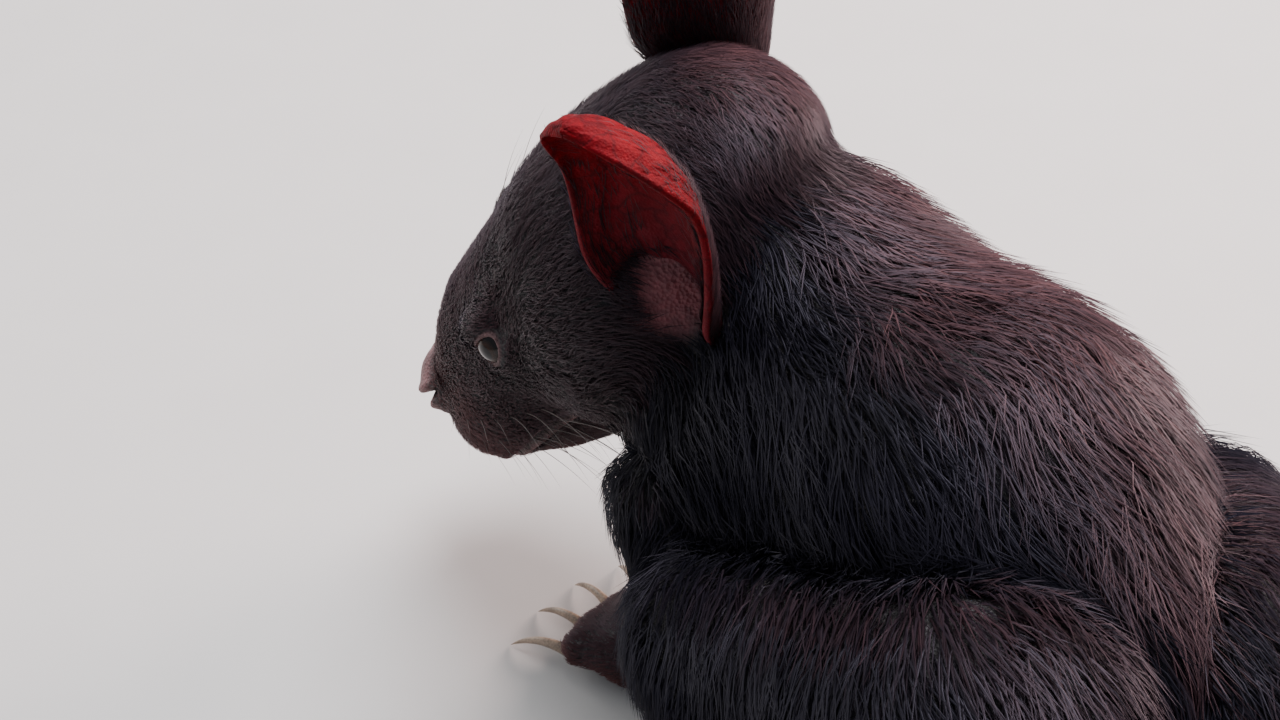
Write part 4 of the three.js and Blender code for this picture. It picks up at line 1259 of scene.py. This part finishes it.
def hair_mesh(name, hairs, pick, brown):
    """Solid hairs, pointed at both ends and bent in the middle, each with a patch on the bake map"""
    stops, normal, width = hairs["stops"][pick], hairs["normal"][pick], hairs["width"][pick]
    count = len(stops)
    way = unit(stops[:, 2] - stops[:, 0])
    aside = unit(np.cross(way, normal))
    up = np.cross(aside, way)
    half = (0.5 * width)[:, None]
    points = np.stack(
        [
            stops[:, 0],
            stops[:, 1] - aside * half,
            stops[:, 1] + aside * half,
            stops[:, 1] + up * half * 0.9,
            stops[:, 2],
        ],
        axis=1,
    )
    one = np.array([(0, 2, 1), (0, 3, 2), (0, 1, 3), (4, 1, 2), (4, 2, 3), (4, 3, 1)])
    faces = (np.arange(count)[:, None, None] * 5 + one).reshape(-1, 3)
    shape = points.reshape(-1, 3)
    mesh = mesh_from(name, shape, facing_out(shape, faces))
    corner = np.array([(0, -0.5), (-0.5, 0), (0.5, 0), (0, 0.1), (0, 0.5)])
    flat = (hairs["flat"][pick][:, None] + PATCH * corner).reshape(-1, 2)
    layer = mesh.uv_layers.new(name="OFBake")
    order = np.empty(len(mesh.loops), np.int32)
    mesh.loops.foreach_get("vertex_index", order)
    layer.data.foreach_set("uv", flat[order].astype(np.float32).ravel())
    own = np.stack([up, -aside, aside, up, up], axis=1)
    soft = unit(normal[:, None] + HAIR_ROUNDNESS * own).reshape(-1, 3)
    mesh.normals_split_custom_set_from_vertices(soft.tolist())
    put_attribute(mesh, "along", np.tile([0, 0.5, 0.5, 0.5, 1.0], count))
    put_attribute(mesh, "tint", np.repeat(hairs["tint"][pick], 5))
    put_attribute(mesh, "brown", np.repeat(brown[pick], 5))
    return mesh


class DEVIL_OT_coat(bpy.types.Operator):
    """Tapered hairs that lie along the body, in one piece for each part of it"""

    bl_idname = "devil.coat"
    bl_label = "Coat"

    def execute(self, context):
        settings = context.scene.devil_coat
        draw = np.random.default_rng(SEED)
        skin = SkinField(bpy.data.objects["skin"])
        hairs = hair_arrays(skin, draw, settings.layers * (1))
        kinds = np.array([kind_of(name) for name in OWNERS])
        brown = brown_marking_and_sheen(hairs["root"], hairs["normal"], kinds[hairs["owner"]])
        look = fur_material("fur", settings)
        labels = np.array([name.replace("nose", "head") for name in OWNERS])[hairs["owner"]]
        for label in sorted(set(labels)):
            mine = np.flatnonzero(labels == label)
            parts = math.ceil(len(mine) * HAIR_TRIANGLES / PIECE_TRIANGLES)
            order = mine[np.argsort(hairs["root"][mine, 0], kind="stable")]
            for number, pick in enumerate(np.array_split(order, parts)):
                name = f"coat_{label}" if parts == 1 else f"coat_{label}_{number + 1}"
                coat = link(name, hair_mesh(name, hairs, pick, brown), look)
                finish_piece(coat, SLOTS.get(kind_of(label), "coat"))
        return {"FINISHED"}


# What repeats: claws and whiskers, grown on points by Geometry Nodes


def geometry_tree(name, sockets):
    """A geometry node group with its input and output nodes"""
    tree = bpy.data.node_groups.new(name, "GeometryNodeTree")
    tree.interface.new_socket("Geometry", in_out="INPUT", socket_type="NodeSocketGeometry")
    for socket, kind in sockets:
        tree.interface.new_socket(socket, in_out="INPUT", socket_type=kind)
    tree.interface.new_socket("Geometry", in_out="OUTPUT", socket_type="NodeSocketGeometry")
    return tree, tree.nodes.new("NodeGroupInput").outputs, tree.nodes.new("NodeGroupOutput").inputs


THINNEST = 0.04  # a tip's radius as a share of the root's


def tapered_curve_tree(name, sides, steps, flat, power):
    """Bent tapered shapes on points, each turned and scaled by its point's own attributes"""
    sockets = [("Radius", "NodeSocketFloat"), ("Arch", "NodeSocketFloat"), ("Drop", "NodeSocketFloat")]
    tree, given, leave = geometry_tree(name, [*sockets, ("Material", "NodeSocketMaterial")])
    crest = put(tree, "ShaderNodeCombineXYZ", {"X": 0.55, "Z": given["Arch"]})
    fall = maths(tree, "MULTIPLY", given["Drop"], -1.0)
    point = put(tree, "ShaderNodeCombineXYZ", {"X": 1.0, "Z": fall})
    bow = put(
        tree,
        "GeometryNodeCurveQuadraticBezier",
        {"Resolution": steps, "Start": (0, 0, 0), "Middle": crest.outputs[0], "End": point.outputs[0]},
    )
    share = put(tree, "GeometryNodeSplineParameter").outputs["Factor"]
    slim = maths(tree, "POWER", maths(tree, "SUBTRACT", 1.0, share), power)
    girth = maths(tree, "MULTIPLY", maths(tree, "MAXIMUM", slim, THINNEST), given["Radius"])
    ring = put(tree, "GeometryNodeCurvePrimitiveCircle", {"Resolution": sides, "Radius": 1.0})
    oval = put(tree, "GeometryNodeTransform", {"Geometry": ring.outputs[0], "Scale": (flat, 1.0, 1.0)})
    solid = put(
        tree,
        "GeometryNodeCurveToMesh",
        {
            "Curve": bow.outputs[0],
            "Profile Curve": oval.outputs[0],
            "Scale": girth,
            "Fill Caps": True,
        },
    )
    turn = put(tree, "GeometryNodeInputNamedAttribute", {"Name": "turn"}, data_type="FLOAT_VECTOR")
    size = put(tree, "GeometryNodeInputNamedAttribute", {"Name": "size"}, data_type="FLOAT_VECTOR")
    rotate = put(tree, "FunctionNodeEulerToRotation", {0: turn.outputs[0]})
    placed = put(
        tree,
        "GeometryNodeInstanceOnPoints",
        {
            "Points": given["Geometry"],
            "Instance": solid.outputs[0],
            "Rotation": rotate.outputs[0],
            "Scale": size.outputs[0],
        },
    )
    real = put(tree, "GeometryNodeRealizeInstances", {"Geometry": placed.outputs[0]})
    smooth = put(tree, "GeometryNodeSetShadeSmooth", {0: real.outputs[0]})
    painted = put(
        tree, "GeometryNodeSetMaterial", {"Geometry": smooth.outputs[0], "Material": given["Material"]}
    )
    tree.links.new(painted.outputs[0], leave["Geometry"])
    return tree


def grown(name, tree, places, turns, sizes, values):
    """The plain mesh that a tree grows on points"""
    seeds = bpy.data.meshes.new(name + "_points")
    seeds.from_pydata((np.array(places) * MM).tolist(), [], [])
    put_attribute(seeds, "turn", np.array(turns))
    put_attribute(seeds, "size", np.array(sizes))
    holder = bpy.data.objects.new(name + "_points", seeds)
    bpy.context.scene.collection.objects.link(holder)
    grow = holder.modifiers.new("Grow", "NODES")
    grow.node_group = tree
    for item in tree.interface.items_tree:
        if item.in_out == "INPUT" and item.name in values:
            grow[item.identifier] = values[item.name]
    result = holder.evaluated_get(bpy.context.evaluated_depsgraph_get())
    mesh = bpy.data.meshes.new_from_object(result)
    bpy.data.objects.remove(holder)
    piece = bpy.data.objects.new(name, mesh)
    bpy.context.scene.collection.objects.link(piece)
    return piece


def euler_to(aim, up):
    """The turn that lays the first axis along aim, with the third near up"""
    x = unit(np.asarray(aim, float))
    y = unit(np.cross(up, x))
    z = np.cross(x, y)
    return np.array(Matrix((x, y, z)).transposed().to_euler())


CLAW_ROOT = 2  # how deep a claw starts in its toe
CLAW_LIFT = 1.6  # how far its root lies above the middle of the toe's end
CLAW_TIP_HEIGHT = 0.6


class DEVIL_OT_claws(bpy.types.Operator):
    """A curved, tapering claw on every toe"""

    bl_idname = "devil.claws"
    bl_label = "Claws"

    def execute(self, context):
        settings = context.scene.devil_claws
        horn, shader_tree, shader = material("claw_horn", 0.32, Specular_IOR_Level=0.55)
        tone = mottled(shader_tree, settings.horn, 0.45, 160.0, 1500.0)
        shader_tree.links.new(tone, shader.inputs["Base Color"])
        curve = tapered_curve_tree("Claw", 14, 18, 0.72, 0.75)
        for name, paw in PAWS.items():
            places, turns, sizes = [], [], []
            long = CLAW_ROOT + paw["radius"] * 0.8 + paw["claw"]
            for toe in toes_of(paw):
                start = toe["end"] - CLAW_ROOT * toe["aim"]
                start[2] = toe["end"][2] + CLAW_LIFT
                places.append(start)
                turns.append(euler_to(toe["aim"], (0, 0, 1)))
                sizes.append((long * MM,) * 3)
            drop = (start[2] - CLAW_TIP_HEIGHT) / long
            values = {"Radius": settings.root_radius / MM / long, "Arch": 0.20, "Drop": drop}
            piece = grown(f"claws_{name}", curve, places, turns, sizes, {**values, "Material": horn})
            finish_piece(piece, "paw")
        return {"FINISHED"}


WHISKER_SINK = 0.6
WHISKER_LENGTH = 45  # the length at which the root has its full radius


class DEVIL_OT_whiskers(bpy.types.Operator):
    """Long whiskers on the muzzle, over the eyes, on the cheeks and under the chin"""

    bl_idname = "devil.whiskers"
    bl_label = "Whiskers"

    def execute(self, context):
        settings = context.scene.devil_whiskers
        draw = np.random.default_rng(SEED + 1)
        tone, tree, shader = material("whisker", 0.35)
        tree.links.new(mottled(tree, settings.tone, 0.5, 80.0, 900.0), shader.inputs["Base Color"])
        skin = bpy.data.objects["skin"].data
        points = [tuple(v.co / MM) for v in skin.vertices]
        surface = BVHTree.FromPolygons(points, [tuple(p.vertices) for p in skin.polygons])
        curve = tapered_curve_tree("Whisker", 5, 12, 1.0, 0.8)
        for side_name, side in (("left", LEFT), ("right", RIGHT)):
            places, turns, sizes = [], [], []
            for local, aim, long in self.rooted(side, settings.rows, draw):
                root, normal, _, _ = surface.find_nearest(Vector(HEAD.place(*local)))
                places.append(np.array(root) - WHISKER_SINK * np.array(normal))
                turns.append(euler_to(HEAD.aim(*aim) + 0.4 * np.array(normal), (0, 0, 1)))
                sizes.append((long * MM,) * 3)
            girth = settings.radius / MM / WHISKER_LENGTH
            values = {"Radius": girth, "Arch": 0.05, "Drop": 0.14, "Material": tone}
            name = f"whiskers_{side_name}"
            finish_piece(grown(name, curve, places, turns, sizes, values), "face")
        return {"FINISHED"}

    @staticmethod
    def rooted(side, rows, draw):
        """Root on the head, direction and length of each whisker on one side"""
        for row in range(rows):
            for step in range(7 - row % 2):
                back = step / 6
                local = (NOSE_TIP - 14 - 34 * back, side * (18 + 9 * back), -8 - 5.5 * row - 2 * back)
                aim = (-0.85 - 0.6 * back, side * 0.5, 0.25 - 0.18 * row + draw.normal(0, 0.07))
                yield local, aim, (18 + 32 * back) * draw.uniform(0.85, 1.1)
        for step in range(5):
            local = (EYE_AHEAD + 8 - 4 * step, side * (EYE_ASIDE - 8 + step), EYE_ABOVE + 16)
            yield local, (-1.0, side * 0.3, 0.35 + draw.normal(0, 0.1)), draw.uniform(20, 30)
        for step in range(5):
            local = (48 - 3 * step, side * 56, -14 - 3 * step)
            yield local, (-1.0, side * 0.35, -0.25 + draw.normal(0, 0.12)), draw.uniform(24, 34)
        for step in range(4):
            local = (NOSE_TIP - 22 - 7 * step, side * (6 + 3 * step), -50)
            yield local, (-0.35, side * 0.5, -0.8), draw.uniform(12, 18)


# Stage

CAMERA_PLACE = from_head(208.2, 431.8, 351.5)
CAMERA_AZIMUTH, CAMERA_ELEVATION = 158, 41
CAMERA_LENS, CAMERA_SENSOR = 61.875, 36
FLOOR_REACH = 12.0
SKY, SKY_STRENGTH = (0.78, 0.85, 0.98, 1), 0.45

# Each lamp's place, target, size, share of the main light and colour, in metres
LAMPS = {
    "key_light": ((-0.25, -0.5, 1.3), (0, -0.05, 0.1), 0.9, 2.0, (0.97, 0.95, 1.0)),
    "front_light": ((0.9, -1.2, 0.7), (0, -0.1, 0.1), 1.1, 0.5, (1.0, 0.98, 0.96)),
    "rim_light": ((-1.2, -0.45, 0.75), (0, 0, 0.12), 0.8, 1.8, (1.0, 0.76, 0.72)),
}


class DEVIL_OT_stage(bpy.types.Operator):
    """Pale floor, soft studio light and the camera at the photograph's viewing angle"""

    bl_idname = "devil.stage"
    bl_label = "Stage"

    def execute(self, context):
        settings = context.scene.devil_stage
        ground, tree, shader = material("floor", 0.9)
        tree.links.new(mottled(tree, settings.floor, 0.97, 3.0, 30.0), shader.inputs["Base Color"])
        corners = [(x * FLOOR_REACH, y * FLOOR_REACH, 0) for x, y in ((-1, -1), (1, -1), (1, 1), (-1, 1))]
        mesh = bpy.data.meshes.new("floor")
        mesh.from_pydata(corners, [], [(0, 1, 2, 3)])
        link("floor", mesh, ground)
        self.world(context)
        for name, (place, target, size, share, tone) in LAMPS.items():
            self.lamp(name, place, target, size, settings.light * share, tone)
        self.camera(context)
        return {"FINISHED"}

    @staticmethod
    def world(context):
        """Faint even light from all round"""
        world = bpy.data.worlds.new("studio")
        world.use_nodes = True
        background = world.node_tree.nodes["Background"]
        background.inputs["Color"].default_value = SKY
        background.inputs["Strength"].default_value = SKY_STRENGTH
        context.scene.world = world

    @staticmethod
    def lamp(name, place, target, size, watts, tone):
        """A round soft light that faces its target"""
        light = bpy.data.lights.new(name, "AREA")
        light.shape = "DISK"
        light.size = size
        light.energy = watts
        light.color = tone
        lamp = bpy.data.objects.new(name, light)
        lamp.location = place
        lamp.rotation_euler = (Vector(target) - Vector(place)).to_track_quat("-Z", "Y").to_euler()
        bpy.context.scene.collection.objects.link(lamp)

    @staticmethod
    def camera(context):
        """The camera, placed so that the image has the photograph's framing"""
        camera = bpy.data.objects.new("camera", bpy.data.cameras.new("camera"))
        camera.data.lens = CAMERA_LENS
        camera.data.sensor_width = CAMERA_SENSOR
        camera.data.clip_start = 0.02
        a, e = math.radians(CAMERA_AZIMUTH), math.radians(CAMERA_ELEVATION)
        back = Vector((math.sin(a) * math.cos(e), -math.cos(a) * math.cos(e), math.sin(e)))
        camera.location = Vector(CAMERA_PLACE) * MM
        camera.rotation_euler = (-back).to_track_quat("-Z", "Y").to_euler()
        context.scene.collection.objects.link(camera)
        context.scene.camera = camera


class DEVIL_PT_panel(bpy.types.Panel):
    """The operators and their settings, in the sidebar of the 3D view"""

    bl_idname = "DEVIL_PT_panel"
    bl_label = "Tasmanian Devil"
    bl_space_type = "VIEW_3D"
    bl_region_type = "UI"
    bl_category = "Devil"

    def draw(self, context):
        for name, group in SETTINGS.items():
            box = self.layout.box()
            box.operator(f"devil.{name}")
            settings = getattr(context.scene, f"devil_{name}")
            for prop in group.__annotations__:
                box.prop(settings, prop)


SETTINGS = {
    "skin": DevilSkinSettings,
    "eyes": DevilEyeSettings,
    "ears": DevilEarSettings,
    "coat": DevilCoatSettings,
    "claws": DevilClawSettings,
    "whiskers": DevilWhiskerSettings,
    "stage": DevilStageSettings,
}
OPERATORS = (
    DEVIL_OT_skin,
    DEVIL_OT_eyes,
    DEVIL_OT_ears,
    DEVIL_OT_coat,
    DEVIL_OT_claws,
    DEVIL_OT_whiskers,
    DEVIL_OT_stage,
)


def register():
    """Makes the classes and the settings known to Blender"""
    for cls in (*SETTINGS.values(), *OPERATORS, DEVIL_PT_panel):
        bpy.utils.register_class(cls)
    for name, group in SETTINGS.items():
        setattr(bpy.types.Scene, f"devil_{name}", PointerProperty(type=group))


def unregister():
    """Takes away what register added"""
    for name in SETTINGS:
        delattr(bpy.types.Scene, f"devil_{name}")
    for cls in reversed((*SETTINGS.values(), *OPERATORS, DEVIL_PT_panel)):
        bpy.utils.unregister_class(cls)


def main():
    """Builds every piece"""
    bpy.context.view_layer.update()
    register()
    bpy.ops.devil.skin()
    bpy.ops.devil.eyes()
    bpy.ops.devil.ears()
    bpy.ops.devil.coat()
    bpy.ops.devil.claws()
    bpy.ops.devil.whiskers()
    bpy.ops.devil.stage()


if __name__ == "__main__":
    main()
